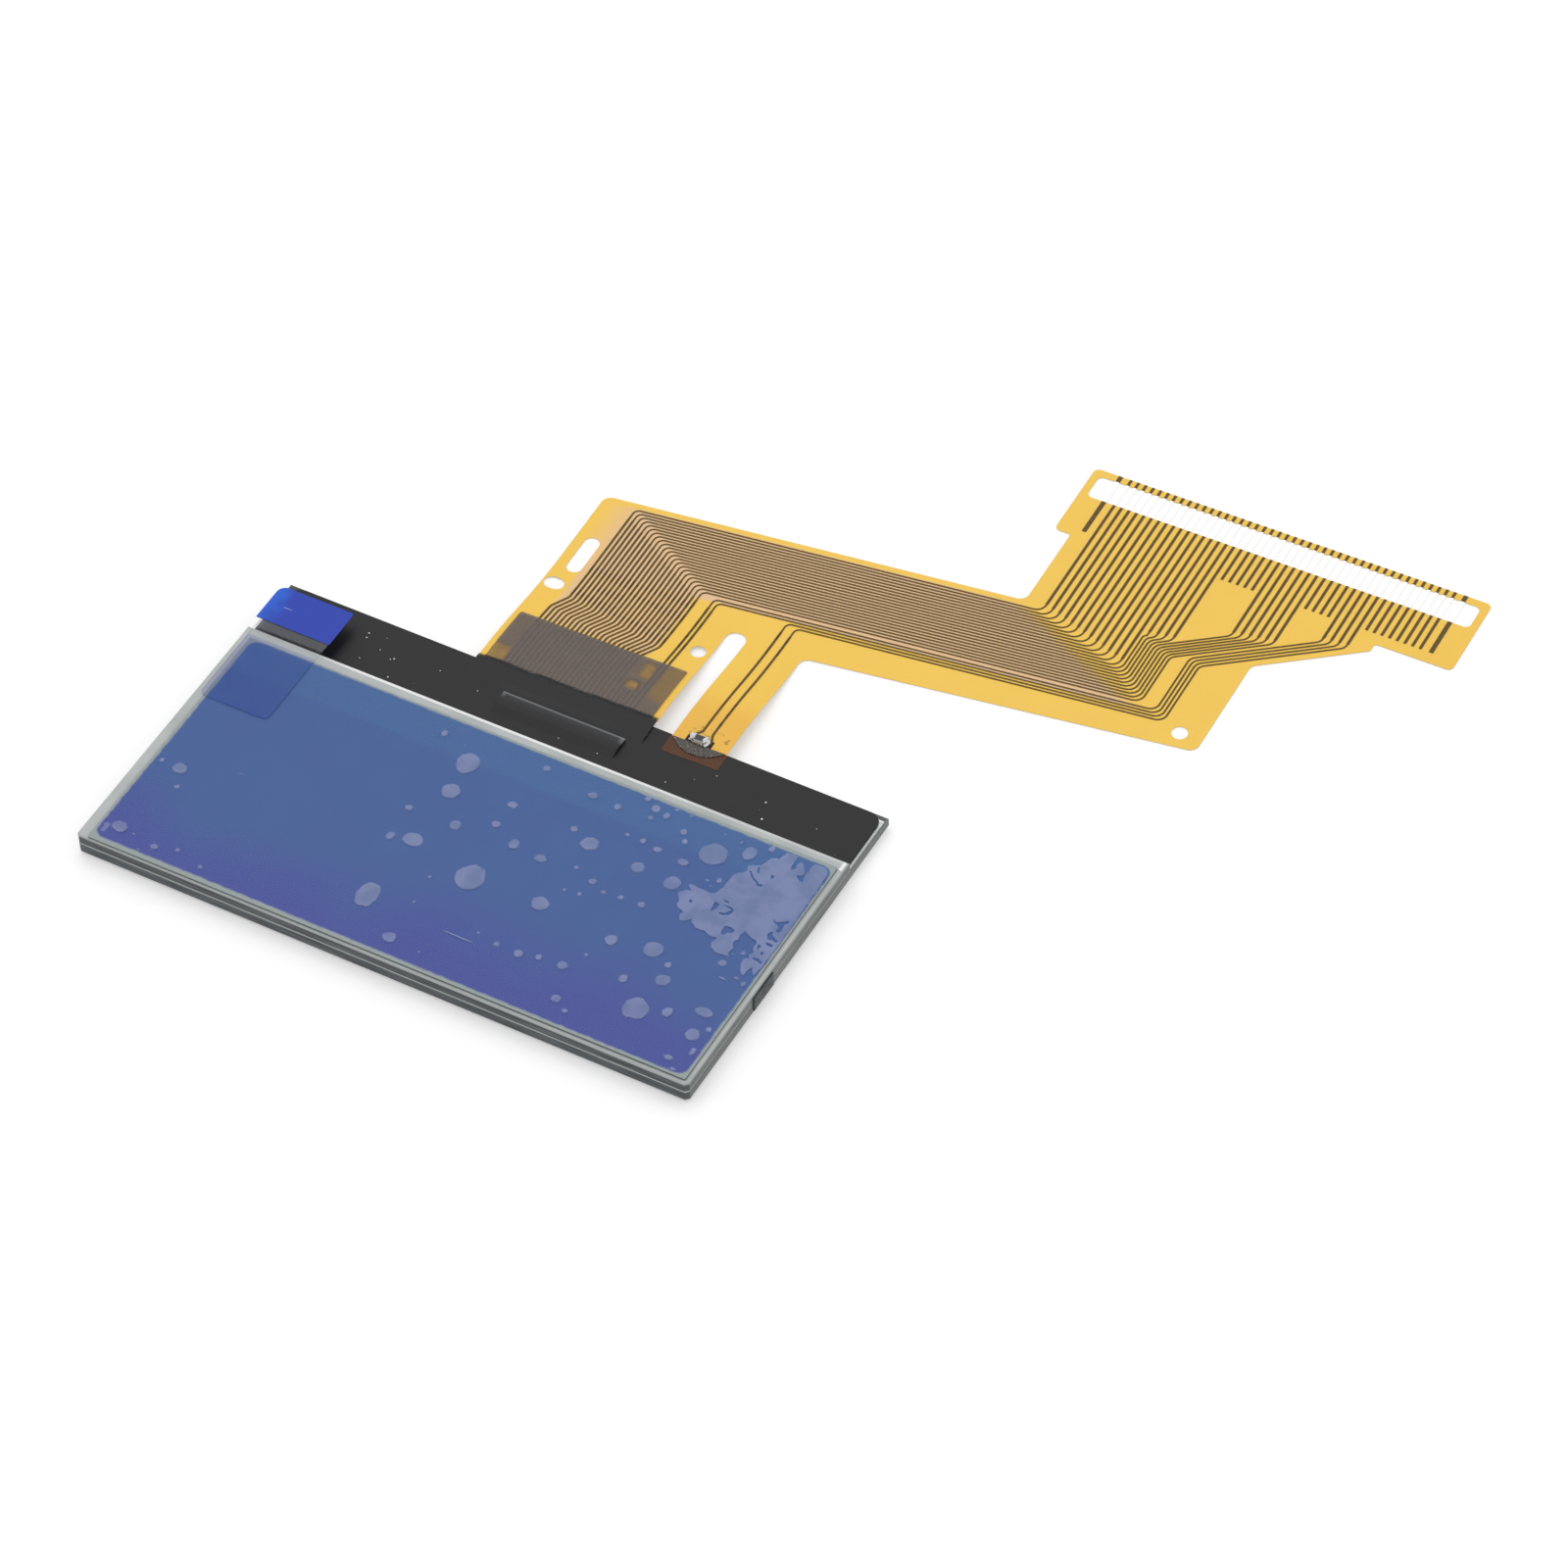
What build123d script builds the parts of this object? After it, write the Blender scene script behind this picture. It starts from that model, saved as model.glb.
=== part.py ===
from build123d import *
import os
from math import cos, radians, sqrt, tan

os.makedirs("parts", exist_ok=True)

# All lengths are millimetres. X runs along the display, Y from the display to the flex, Z up.
# The origin is the middle of the display on its resting face.

# glass cell
GLASS_LENGTH = 65.5
FRONT_GLASS_DEPTH = 30.2
LEDGE_DEPTH = 7.5
GLASS_THICK = 1.1
CELL_GAP = 0.05
CORNER_CUT = 0.35
EDGE_ARRIS = 0.12
POLARIZER_THICK = 0.2
BACK_POLARIZER_INSET = 0.9
SEAL_WIDTH = 1.0
SEAL_INSET = 0.25
PORT_WIDTH = 3.0
PORT_Y = -5.1
PLUG_LENGTH = 3.7
PLUG_DEPTH = 0.18
PLUG_INSET = 0.3
PLUG_ROUND = 0.12

Z_BACK_GLASS = POLARIZER_THICK
Z_LEDGE = Z_BACK_GLASS + GLASS_THICK
Z_FRONT_GLASS = Z_LEDGE + CELL_GAP
Z_FACE = Z_FRONT_GLASS + GLASS_THICK
Z_FILM = Z_FACE + POLARIZER_THICK
X_EDGE = GLASS_LENGTH / 2
REAR_GLASS_DEPTH = FRONT_GLASS_DEPTH + LEDGE_DEPTH
Y_FRONT = -REAR_GLASS_DEPTH / 2
Y_STEP = Y_FRONT + FRONT_GLASS_DEPTH
Y_REAR = REAR_GLASS_DEPTH / 2

# front polarizer and its protective film, laid a little askew on the glass
FACE_INSET_LEFT = 1.15
FACE_INSET_RIGHT = 0.55
FACE_INSET_FRONT = 0.3
FACE_INSET_REAR = 1.25
FACE_TURN = 0.25
FACE_ROUND = 0.15
FILM_THICK = 0.08

# air blisters lifted in the protective film
BLISTER_RISE = 0.03
BLISTER_SLOPE = 70
WIDE_BLISTERS = [
    (-4.8, 5.5, 1.1, 1.4), (-4.4, 1.8, 1.1, 1.0), (-4.4, -5.0, 1.1, 0.9), (-4.6, -12.8, 1.2, 1.6),
    (2.7, -6.6, 1.5, 1.6), (10.1, -6.4, 1.0, 0.9), (10.5, 2.1, 0.9, 0.9), (19.5, 1.4, 0.8, 1.0),
    (21.2, 6.3, 1.4, 1.5), (24.1, 8.0, 0.8, 0.9), (22.0, -6.4, 1.1, 1.1), (24.2, -13.3, 1.4, 1.3),
    (27.3, -3.0, 1.0, 0.9), (-29.4, -16.3, 0.9, 0.8), (-28.4, -7.5, 0.8, 0.7), (30.3, -13.5, 0.8, 0.8),
]
SMALL_BLISTER = 0.55
SMALL_BLISTERS = [
    (-6.8, -1.8), (-1.8, -1.7), (-6.5, -5.6), (-25.3, -16.9), (0.0, -16.3), (2.1, 8.4), (7.6, 7.4),
    (10.4, 7.3), (1.6, 3.0), (1.4, 0.2), (4.2, -1.3), (7.3, -1.6), (15.8, 1.5), (18.1, -7.2),
    (24.7, -9.2), (21.4, -10.7), (15.7, -11.9), (11.4, -12.5), (27.0, -12.3), (17.2, -15.6),
    (13.7, 8.6), (19.2, 4.1), (22.6, -1.4), (30.1, -10.9), (29.7, -17.0), (18.4, -2.2),
]

# pull tab: clear tape with a coloured grip on its free end
TAB_INSET = 0.75
TAB_WIDTH = 7.55
TAB_LENGTH = 15.45
TAB_OVER_LEDGE = 5.55
TAB_THICK = 0.06
TAB_ROUND = 0.6
GRIP_WIDTH = 8.2
GRIP_LENGTH = 4.6
GRIP_PAST = 0.15
GRIP_SHIFT = -0.2
GRIP_THICK = 0.05
GRIP_ROUND_LEFT = 0.9
GRIP_ROUND_RIGHT = 0.4

# silver dab on the rear right corner of the front glass
DAB_PAST_ARRIS = 0.02
DAB_WIDTH = 0.38
DAB_DEPTH = 1.1
DAB_THICK = 0.03
DAB_ROUND = 0.1

# driver chip under the black coating of the ledge
CHIP_LENGTH = 13.1
CHIP_WIDTH = 1.5
CHIP_THICK = 0.32
CHIP_X = -0.45
CHIP_TO_FLEX = 1.25
BOND_THICK = 0.025
BOND_MARGIN = 0.15
COAT_THICK = 0.03
COAT_OVER_CHIP = 0.04
COAT_WRAP = 0.08
COAT_SLOPE_RUN = 1.0
COAT_LEFT_GAP = 0.45
COAT_RIGHT_GAP = 0.35
COAT_ROUND = 1.5

# flex circuit: its own frame starts at the rear edge of the glass and is turned a little
FLEX_TURN = 1.4
COVERLAY_THICK = 0.025
COPPER_THICK = 0.031
LAYER_CLEARANCE = 0.004
BASE_THICK = 0.05
Z_COPPER = COVERLAY_THICK
Z_BASE = Z_COPPER + COPPER_THICK + LAYER_CLEARANCE
Z_TOP = Z_BASE + BASE_THICK
DROOP_RUN = 17.0

# leads at the soldering window, and which of them carry tracks
LEAD_PITCH = 0.8
LEAD_COUNT = 44
LEAD_WIDTH = 0.3
LEAD_LENGTH = 8.3
A_LEAD_COUNT = 17
A_SPARE_COUNT = 5
B_LEAD_COUNT = 6
B_SPARE_COUNT = 4
C_LEAD_COUNT = 4
WIDE_LEAD_WIDTH = 0.46
WIDE_LEAD_STEP = 1.12
TIN_THICK = 0.01

# head of the flex, with its far edge at a distance from the glass
HEAD_LEFT = 29.35
HEAD_TOP = 50.0
HEAD_END = 3.85
HEAD_DEPTH_LEFT = 9.2
HEAD_DEPTH_RIGHT = 9.6
NOTCH_INSET = 4.1
NOTCH_STEP = 1.0
WINDOW_END = 3.05
WINDOW_EDGE = 0.85
WINDOW_DEPTH = 2.95

# tracks, counted from the outer side of the bend
STRAIGHT_LEAD_COUNT = 13
PAIR_COUNT = 2
SENSOR_COUNT = 2
TRACK_WIDTH = 0.19
WIDE_TRACK_WIDTH = 0.25
NECK_DROP = 1.2
TRACK_ROUND = 1.0
BEND_SHARE = 0.45
ARM_SLOPE = 7.1
ARM_PITCH = 0.372
ARM_FIRST_V = 26.25
ARM_EXTRA_GAP = 0.2
SLANT = 36.0
BUNDLE_JOG = 0.3
BUNDLE_PITCH = 0.39
BUNDLE_V = 31.7
BUNDLE_FALL = 0.155
BUNDLE_GAP = 1.75
C_BUNDLE_PITCH = 0.41
C_BUNDLE_V = 31.0
C_BUNDLE_FALL = 0.2
LEFT_PITCH = 0.503
JOG_SHIFT = 0.95
JOG_HEIGHT = 1.95
JOG_V = 11.9
JOG_FALL = 0.105
PAIR_GAP = 1.53
PAIR_PITCH = 0.5
SENSOR_PITCH = 1.08
CONTACT_SPARE = 0.1

# outline of the flex, from the tracks it carries
FLEX_LEFT = -11.85
LEFT_MARGIN = 3.55
BOND_OVERLAP = 1.8
TAIL_OVERLAP = 0.5
SLOT_MARGIN = 2.8
SLOT_WIDTH = 2.1
SLOT_TOP = 15.0
TAIL_WIDTH = 5.8
ARM_MARGIN = 0.85
ARM_LOW_MARGIN = 3.8
ARM_LOW_SLOPE = 8.25
LEG_MARGIN_LEFT = 2.1
LEG_MARGIN_RIGHT = 4.4
ROUND_BIG = 1.0
ROUND_MID = 0.6
ROUND_SMALL = 0.25

# holes of the flex
HOLE_DIAMETER = 1.6
NEAR_HOLE_INSET = 1.3
NEAR_HOLE_V = 10.9
FAR_HOLE_INSET = 2.35
FAR_HOLE_RISE = 1.85
LONG_HOLE_INSET = 1.9
LONG_HOLE_V = 17.6
LONG_HOLE_LENGTH = 5.0
WIDE_HOLE_INSET = 1.25
WIDE_HOLE_V = 13.0
WIDE_HOLE_LENGTH = 2.1

# loop and stubs beside the pair at the glass bond
LOOP_GAP = 0.5
LOOP_WIDTH = 1.45
LOOP_TOP = 4.4
STUB_COUNT = 2
STUB_TOP = 3.0

# dark tape over the glass bond
COVER_INSET = 0.65
COVER_NEAR = 0.4
COVER_FAR = 7.7
COVER_THICK = 0.046
COAT_LAP_NEAR = -2.0
COAT_LAP_FAR = 0.8
COAT_RAMP = 0.9
COAT_LAP_THICK = 0.05
COAT_LAP_ROUND = 0.2

# chip resistor on the narrow tail
RESISTOR_SHIFT = -0.2
RESISTOR_V = -0.05
RESISTOR_LENGTH = 1.6
RESISTOR_WIDTH = 0.8
RESISTOR_HEIGHT = 0.45
TERMINAL_LENGTH = 0.3
TERMINAL_THICK = 0.03
RESISTOR_COAT_THICK = 0.02
RESISTOR_COAT_MARGIN = 0.04
PAD_LENGTH = 0.75
PAD_WIDTH = 0.9
PAD_OFFSET = 1.0
PAD_NECK_V = 1.1
SOLDER_HEIGHT = 0.36
SOLDER_ROUND = 0.16
SOLDER_SPARE = 0.03

# tape and glue that fix the tail to the ledge
STRIP_WIDTH = 6.05
STRIP_DEPTH = 2.05
STRIP_GAP = 0.05
STRIP_THICK = 0.06
GLUE_THICK = 0.1
GLUE_WIDTH = 5.5
GLUE_DEPTH = 1.35
GLUE_BITE = 0.35


def write(node, *solids):
    """one STEP file for a node, with its separate solids side by side"""
    found = [s for shape in solids for s in shape.solids()]
    export_step(found[0] if len(found) == 1 else Compound(children=found), f"parts/{node}.step")


def block(left, right, near, far, low, high):
    """a plain box between six faces"""
    size = Box(right - left, far - near, high - low)
    return Pos((left + right) / 2, (near + far) / 2, (low + high) / 2) * size


def rounded(left, right, near, far, radius):
    """a rectangle with rounded corners"""
    face = RectangleRounded(right - left, far - near, radius)
    return Pos((left + right) / 2, (near + far) / 2) * face


def outline(corners):
    """a flat shape from its corners, each with its own rounding"""
    face = make_face(Polyline([(x, y) for x, y, radius in corners], close=True))
    for size in sorted({radius for x, y, radius in corners if radius}):
        picked = [face.vertices().sort_by_distance((x, y))[0] for x, y, r in corners if r == size]
        face = fillet(picked, size)
    return face


# glass plates with cut front corners and a narrow arris on every long edge
def glass_plate(depth, low):
    plate = block(-X_EDGE, X_EDGE, Y_FRONT, Y_FRONT + depth, low, low + GLASS_THICK)
    front = plate.edges().filter_by(Axis.Z).group_by(Axis.Y)[0]
    plate = chamfer(front, CORNER_CUT)
    flats = plate.faces().sort_by(Axis.Z)
    return chamfer(flats[0].edges() + flats[-1].edges(), EDGE_ARRIS)


rear_glass = glass_plate(REAR_GLASS_DEPTH, Z_BACK_GLASS)
front_glass = glass_plate(FRONT_GLASS_DEPTH, Z_FRONT_GLASS)
write("rear_glass", rear_glass)
write("front_glass", front_glass)

rear_polarizer = block(
    -X_EDGE + BACK_POLARIZER_INSET, X_EDGE - BACK_POLARIZER_INSET,
    Y_FRONT + BACK_POLARIZER_INSET, Y_STEP - BACK_POLARIZER_INSET, 0, POLARIZER_THICK,
)
write("rear_polarizer", rear_polarizer)

# seal frame with the filling port, the liquid crystal inside it and the plug outside
seal_outer = block(
    -X_EDGE + SEAL_INSET, X_EDGE - SEAL_INSET, Y_FRONT + SEAL_INSET, Y_STEP - SEAL_INSET,
    Z_LEDGE, Z_FRONT_GLASS,
)
seal_edge = SEAL_INSET + SEAL_WIDTH
liquid = block(
    -X_EDGE + seal_edge, X_EDGE - seal_edge, Y_FRONT + seal_edge, Y_STEP - seal_edge,
    Z_LEDGE, Z_FRONT_GLASS,
)
port = block(
    X_EDGE - seal_edge, X_EDGE, PORT_Y - PORT_WIDTH / 2, PORT_Y + PORT_WIDTH / 2,
    Z_LEDGE, Z_FRONT_GLASS,
)
write("perimeter_seal", seal_outer - liquid - port)
write("liquid_crystal", liquid)

plug = block(
    X_EDGE, X_EDGE + PLUG_DEPTH, PORT_Y - PLUG_LENGTH / 2, PORT_Y + PLUG_LENGTH / 2,
    Z_BACK_GLASS + PLUG_INSET, Z_FACE - PLUG_INSET,
)
plug = fillet(plug.faces().sort_by(Axis.X)[-1].edges(), PLUG_ROUND)
write("fill_port_plug", plug + port)

# front polarizer and protective film
face_length = GLASS_LENGTH - FACE_INSET_LEFT - FACE_INSET_RIGHT
face_depth = FRONT_GLASS_DEPTH - FACE_INSET_FRONT - FACE_INSET_REAR
face_x = (FACE_INSET_LEFT - FACE_INSET_RIGHT) / 2
face_y = Y_FRONT + FACE_INSET_FRONT + face_depth / 2
face_place = Pos(face_x, face_y) * Rot(0, 0, FACE_TURN)
face_sheet = face_place * RectangleRounded(face_length, face_depth, FACE_ROUND)
write("front_polarizer", Pos(0, 0, Z_FACE) * extrude(face_sheet, POLARIZER_THICK))

def on_film(x, y, across, along):
    """whether a blister is clear of the film's edges"""
    inside_x = abs(x - face_x) + across < face_length / 2
    return inside_x and abs(y - face_y) + along < face_depth / 2


film = Pos(0, 0, Z_FILM) * extrude(face_sheet, FILM_THICK)
blisters = WIDE_BLISTERS + [(x, y, SMALL_BLISTER, SMALL_BLISTER) for x, y in SMALL_BLISTERS]
for x, y, across, along in blisters:
    if on_film(x, y, across, along):
        lift = extrude(Ellipse(across, along), BLISTER_RISE, taper=BLISTER_SLOPE)
        film += Pos(x, y, Z_FILM + FILM_THICK) * lift
write("protective_film", film)

# pull tab
z_tab = Z_FILM + FILM_THICK
tab_left = -X_EDGE + TAB_INSET
tab_right = tab_left + TAB_WIDTH
tab_far = Y_STEP + TAB_OVER_LEDGE
tab_tape = extrude(rounded(tab_left, tab_right, tab_far - TAB_LENGTH, tab_far, TAB_ROUND), TAB_THICK)
write("tab_tape", Pos(0, 0, z_tab) * tab_tape)
grip_x = (tab_left + tab_right) / 2 + GRIP_SHIFT
grip_y = tab_far + GRIP_PAST - GRIP_LENGTH / 2
grip_face = Rectangle(GRIP_WIDTH, GRIP_LENGTH)
rear_right = grip_face.vertices().group_by(Axis.Y)[-1].sort_by(Axis.X)[-1]
grip_face = fillet(rear_right, GRIP_ROUND_RIGHT)
rear_left = grip_face.vertices().group_by(Axis.Y)[-1].sort_by(Axis.X)[0]
grip_face = fillet(rear_left, GRIP_ROUND_LEFT)
tab_grip = extrude(grip_face, GRIP_THICK)
write("tab_grip", Pos(grip_x, grip_y, z_tab + TAB_THICK) * tab_grip)

dab = extrude(RectangleRounded(DAB_WIDTH, DAB_DEPTH, DAB_ROUND), DAB_THICK)
dab_inset = EDGE_ARRIS + DAB_PAST_ARRIS
dab_x = X_EDGE - dab_inset - DAB_WIDTH / 2
dab_y = Y_STEP - dab_inset - DAB_DEPTH / 2
write("corner_silver_dab", Pos(dab_x, dab_y, Z_FACE) * dab)

# driver chip with its bond film
chip_left = CHIP_X - CHIP_LENGTH / 2
chip_right = CHIP_X + CHIP_LENGTH / 2
chip_far = Y_REAR - BOND_OVERLAP - CHIP_TO_FLEX
chip_near = chip_far - CHIP_WIDTH
z_chip = Z_LEDGE + BOND_THICK
chip = block(chip_left, chip_right, chip_near, chip_far, z_chip, z_chip + CHIP_THICK)
chip_bond = block(
    chip_left - BOND_MARGIN, chip_right + BOND_MARGIN,
    chip_near - BOND_MARGIN, chip_far + BOND_MARGIN, Z_LEDGE, z_chip,
)
write("driver_chip", chip)
write("chip_bond_film", chip_bond)

# flex circuit in its own frame: u along the fingers, v away from the glass
flex_place = Pos(0, Y_REAR) * Rot(0, 0, FLEX_TURN)
droop_radius = (DROOP_RUN**2 + Z_LEDGE**2) / (4 * Z_LEDGE)
half_run = DROOP_RUN / 2
quarter_run = DROOP_RUN / 4
quarter_drop = droop_radius - sqrt(droop_radius**2 - quarter_run**2)

# places along the fingers and on the head
leads = [HEAD_LEFT + HEAD_END + place * LEAD_PITCH for place in range(LEAD_COUNT)]
first_b = A_LEAD_COUNT + A_SPARE_COUNT
first_c = first_b + B_LEAD_COUNT + B_SPARE_COUNT
used = leads[:A_LEAD_COUNT] + leads[first_b:first_b + B_LEAD_COUNT]
used += leads[first_c:first_c + C_LEAD_COUNT]
spare = [u for u in leads if u not in used]
wide_leads = [leads[0] - WIDE_LEAD_STEP, leads[-1] + WIDE_LEAD_STEP]
head_right = leads[-1] + HEAD_END
window_top = HEAD_TOP - WINDOW_EDGE
window_low = window_top - WINDOW_DEPTH
lead_low = HEAD_TOP - LEAD_LENGTH

# places of the tracks
arm_rise = tan(radians(ARM_SLOPE))
arm_low_rise = tan(radians(ARM_LOW_SLOPE))
slant_rise = tan(radians(SLANT))
slant_bend = TRACK_ROUND * tan(radians(90 - SLANT) / 2)
b_end = A_LEAD_COUNT + B_LEAD_COUNT
left_count = len(used) - PAIR_COUNT - SENSOR_COUNT
bundle_u = used[STRAIGHT_LEAD_COUNT] - BUNDLE_JOG
c_bundle_u = bundle_u + (b_end - 1 - STRAIGHT_LEAD_COUNT) * BUNDLE_PITCH + BUNDLE_GAP
left_first_u = FLEX_LEFT + LEFT_MARGIN
left_last_u = left_first_u + (left_count - 1) * LEFT_PITCH
pair_u = [left_last_u + PAIR_GAP + place * PAIR_PITCH for place in range(PAIR_COUNT)]
contact_end = CONTACT_SPARE - BOND_OVERLAP


def arm_point(line, u):
    """where a line of the arm passes at u"""
    after_gap = ARM_EXTRA_GAP if line >= b_end else 0
    fall = (line * ARM_PITCH + after_gap) / cos(radians(ARM_SLOPE))
    return (u, ARM_FIRST_V - fall + arm_rise * u)


# places of the outline
slot_left = pair_u[-1] + SLOT_MARGIN
tail_left = slot_left + SLOT_WIDTH
tail_right = tail_left + TAIL_WIDTH
tail_middle = (tail_left + tail_right) / 2
sensor_u = [tail_middle - SENSOR_PITCH / 2, tail_middle + SENSOR_PITCH / 2]
leg_left = leads[0] - LEG_MARGIN_LEFT
leg_right = c_bundle_u + (C_LEAD_COUNT - 1) * C_BUNDLE_PITCH + LEG_MARGIN_RIGHT
notch_u = leads[-1] - NOTCH_INSET
notch_top = HEAD_TOP - HEAD_DEPTH_RIGHT
notch_low = notch_top - NOTCH_STEP
shoulder_v = notch_low - slant_rise * (notch_u - leg_right)


def arm_top(u):
    """height of the arm's upper edge at u"""
    return arm_point(0, u)[1] + ARM_MARGIN


def arm_low(u):
    """height of the arm's lower edge at u"""
    return arm_point(len(used) - 1, 0)[1] - ARM_LOW_MARGIN + arm_low_rise * u


def droop_line(rise):
    """side view of the flex: level on the ledge, two equal arcs down, level on the table"""
    top = Z_LEDGE + rise
    middle = Z_LEDGE / 2 + rise
    return [
        Line((-LEDGE_DEPTH, top), (0, top)),
        ThreePointArc((0, top), (quarter_run, top - quarter_drop), (half_run, middle)),
        ThreePointArc(
            (half_run, middle), (DROOP_RUN - quarter_run, rise + quarter_drop), (DROOP_RUN, rise)
        ),
        Line((DROOP_RUN, rise), (HEAD_TOP + LEDGE_DEPTH, rise)),
    ]


def band(low, high):
    """everything between two heights above the underside of the flex"""
    ends = [
        Line((-LEDGE_DEPTH, Z_LEDGE + low), (-LEDGE_DEPTH, Z_LEDGE + high)),
        Line((HEAD_TOP + LEDGE_DEPTH, low), (HEAD_TOP + LEDGE_DEPTH, high)),
    ]
    side = make_face(droop_line(low) + droop_line(high) + ends)
    return extrude(Plane.YZ * side, head_right + LEDGE_DEPTH, both=True)


def layer(faces, low, high):
    """flat shapes made into a layer of the flex that follows its droop"""
    between = band(low, high)
    return [flex_place * (between & extrude(face, Z_FILM, both=True)) for face in faces]


def flex_outline(bond_end, tail_end):
    """the whole flex with its slot, ended at the given places on the glass"""
    return outline([
        (FLEX_LEFT, bond_end, 0),
        (slot_left, bond_end, 0),
        (slot_left, SLOT_TOP, ROUND_BIG),
        (tail_left, SLOT_TOP, ROUND_BIG),
        (tail_left, tail_end, 0),
        (tail_right, tail_end, 0),
        (tail_right, arm_low(tail_right), ROUND_BIG),
        (leg_right, arm_low(leg_right), ROUND_BIG),
        (leg_right, shoulder_v, ROUND_BIG),
        (notch_u, notch_low, ROUND_SMALL),
        (notch_u, notch_top, ROUND_SMALL),
        (head_right, notch_top, ROUND_MID),
        (head_right, HEAD_TOP, ROUND_MID),
        (HEAD_LEFT, HEAD_TOP, ROUND_MID),
        (HEAD_LEFT, HEAD_TOP - HEAD_DEPTH_LEFT, ROUND_MID),
        (leg_left, HEAD_TOP - HEAD_DEPTH_LEFT, ROUND_SMALL),
        (leg_left, arm_top(leg_left), ROUND_BIG),
        (FLEX_LEFT, arm_top(FLEX_LEFT), ROUND_BIG),
    ])


window = rounded(
    leads[0] - WINDOW_END, leads[-1] + WINDOW_END, window_low, window_top, ROUND_MID
)
far_hole_u = leg_right - FAR_HOLE_INSET
near_hole = Pos(slot_left - NEAR_HOLE_INSET, NEAR_HOLE_V)
far_hole = Pos(far_hole_u, arm_low(far_hole_u) + FAR_HOLE_RISE)
long_hole = Pos(FLEX_LEFT + LONG_HOLE_INSET, LONG_HOLE_V)
wide_hole = Pos(FLEX_LEFT + WIDE_HOLE_INSET, WIDE_HOLE_V)
holes = [
    near_hole * Circle(HOLE_DIAMETER / 2),
    far_hole * Circle(HOLE_DIAMETER / 2),
    long_hole * SlotOverall(LONG_HOLE_LENGTH, HOLE_DIAMETER, rotation=90),
    wide_hole * SlotOverall(WIDE_HOLE_LENGTH, HOLE_DIAMETER),
]
resistor_u = tail_middle + RESISTOR_SHIFT
pads = [
    Pos(resistor_u + side * PAD_OFFSET, RESISTOR_V) * Rectangle(PAD_LENGTH, PAD_WIDTH)
    for side in (-1, 1)
]

base_sheet = flex_outline(-BOND_OVERLAP, -TAIL_OVERLAP) - window - holes - pads
coverlay_sheet = flex_outline(COVER_NEAR, -TAIL_OVERLAP) - window - holes
write("flex_base_film", *layer([base_sheet], Z_BASE, Z_TOP))
write("flex_coverlay", *layer([coverlay_sheet], 0, COVERLAY_THICK))


# tracks
def ribbon(points, radius=TRACK_ROUND, width=TRACK_WIDTH):
    """a flat track of even width through the given points, with round bends"""
    path = [Vector(*point) for point in points]
    runs = [(after - before) for before, after in zip(path, path[1:])]
    ways = [run.normalized() for run in runs]
    normals = [way.rotate(Axis.Z, 90) for way in ways]
    edges = []
    ends = []
    for offset in (-width / 2, width / 2):
        pen = path[0] + normals[0] * offset
        ends.append(pen)
        for place in range(1, len(ways)):
            corner = path[place]
            spread = tan(radians(ways[place - 1].get_angle(ways[place])) / 2)
            shorter = min(runs[place - 1].length, runs[place].length)
            cut = min(radius * spread, BEND_SHARE * shorter)
            inward = 1 if ways[place - 1].cross(ways[place]).Z > 0 else -1
            bend = cut / spread
            enter = corner - ways[place - 1] * cut
            leave = corner + ways[place] * cut
            centre = enter + normals[place - 1] * bend * inward
            middle = centre + (corner - centre).normalized() * (bend - offset * inward)
            enter, leave = enter + normals[place - 1] * offset, leave + normals[place] * offset
            edges += [Line(pen, enter), ThreePointArc(enter, middle, leave)]
            pen = leave
        last = path[-1] + normals[-1] * offset
        edges.append(Line(pen, last))
        ends.append(last)
    edges += [Line(ends[0], ends[2]), Line(ends[1], ends[3])]
    return make_face(edges)


def strip(u, low, high, width):
    return Pos(u, (low + high) / 2) * Rectangle(width, high - low)


def head_end(line):
    """the track from the arm up to its lead, and the height where the lead starts"""
    u = used[line]
    if line < STRAIGHT_LEAD_COUNT:
        return [(u, window_low)], arm_point(line, u)[1] + TRACK_ROUND
    if line < b_end:
        place = line - STRAIGHT_LEAD_COUNT
        low_u, low_v = bundle_u + place * BUNDLE_PITCH, BUNDLE_V - place * BUNDLE_FALL
    else:
        place = line - b_end
        low_u, low_v = c_bundle_u + place * C_BUNDLE_PITCH, C_BUNDLE_V - place * C_BUNDLE_FALL
    high_v = low_v + slant_rise * (u - low_u)
    return [(low_u, low_v), (u, high_v), (u, window_low)], high_v + slant_bend


def glass_end(line):
    """the track from its end on the glass or on the resistor's pad up to the arm"""
    if line < left_count:
        u = left_first_u + line * LEFT_PITCH
        jog = JOG_V - line * JOG_FALL
        return [(u - JOG_SHIFT, contact_end), (u - JOG_SHIFT, jog - JOG_HEIGHT), (u, jog)]
    if line < left_count + PAIR_COUNT:
        return [(pair_u[line - left_count], contact_end)]
    side = line - left_count - PAIR_COUNT
    pad_u = resistor_u + (2 * side - 1) * PAD_OFFSET
    return [(pad_u, RESISTOR_V), (pad_u, PAD_NECK_V / 2), (sensor_u[side], PAD_NECK_V)]


def track(line):
    """a whole track from the glass to its lead"""
    low = glass_end(line)
    high, lead_start = head_end(line)
    bends = [arm_point(line, low[-1][0]), arm_point(line, high[0][0])]
    neck = (bends[0][0], bends[0][1] - NECK_DROP)
    wide = ribbon(low + [neck], width=WIDE_TRACK_WIDTH)
    lead = strip(used[line], lead_start, HEAD_TOP, LEAD_WIDTH)
    return wide + ribbon([neck] + bends + high) + lead


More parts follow.
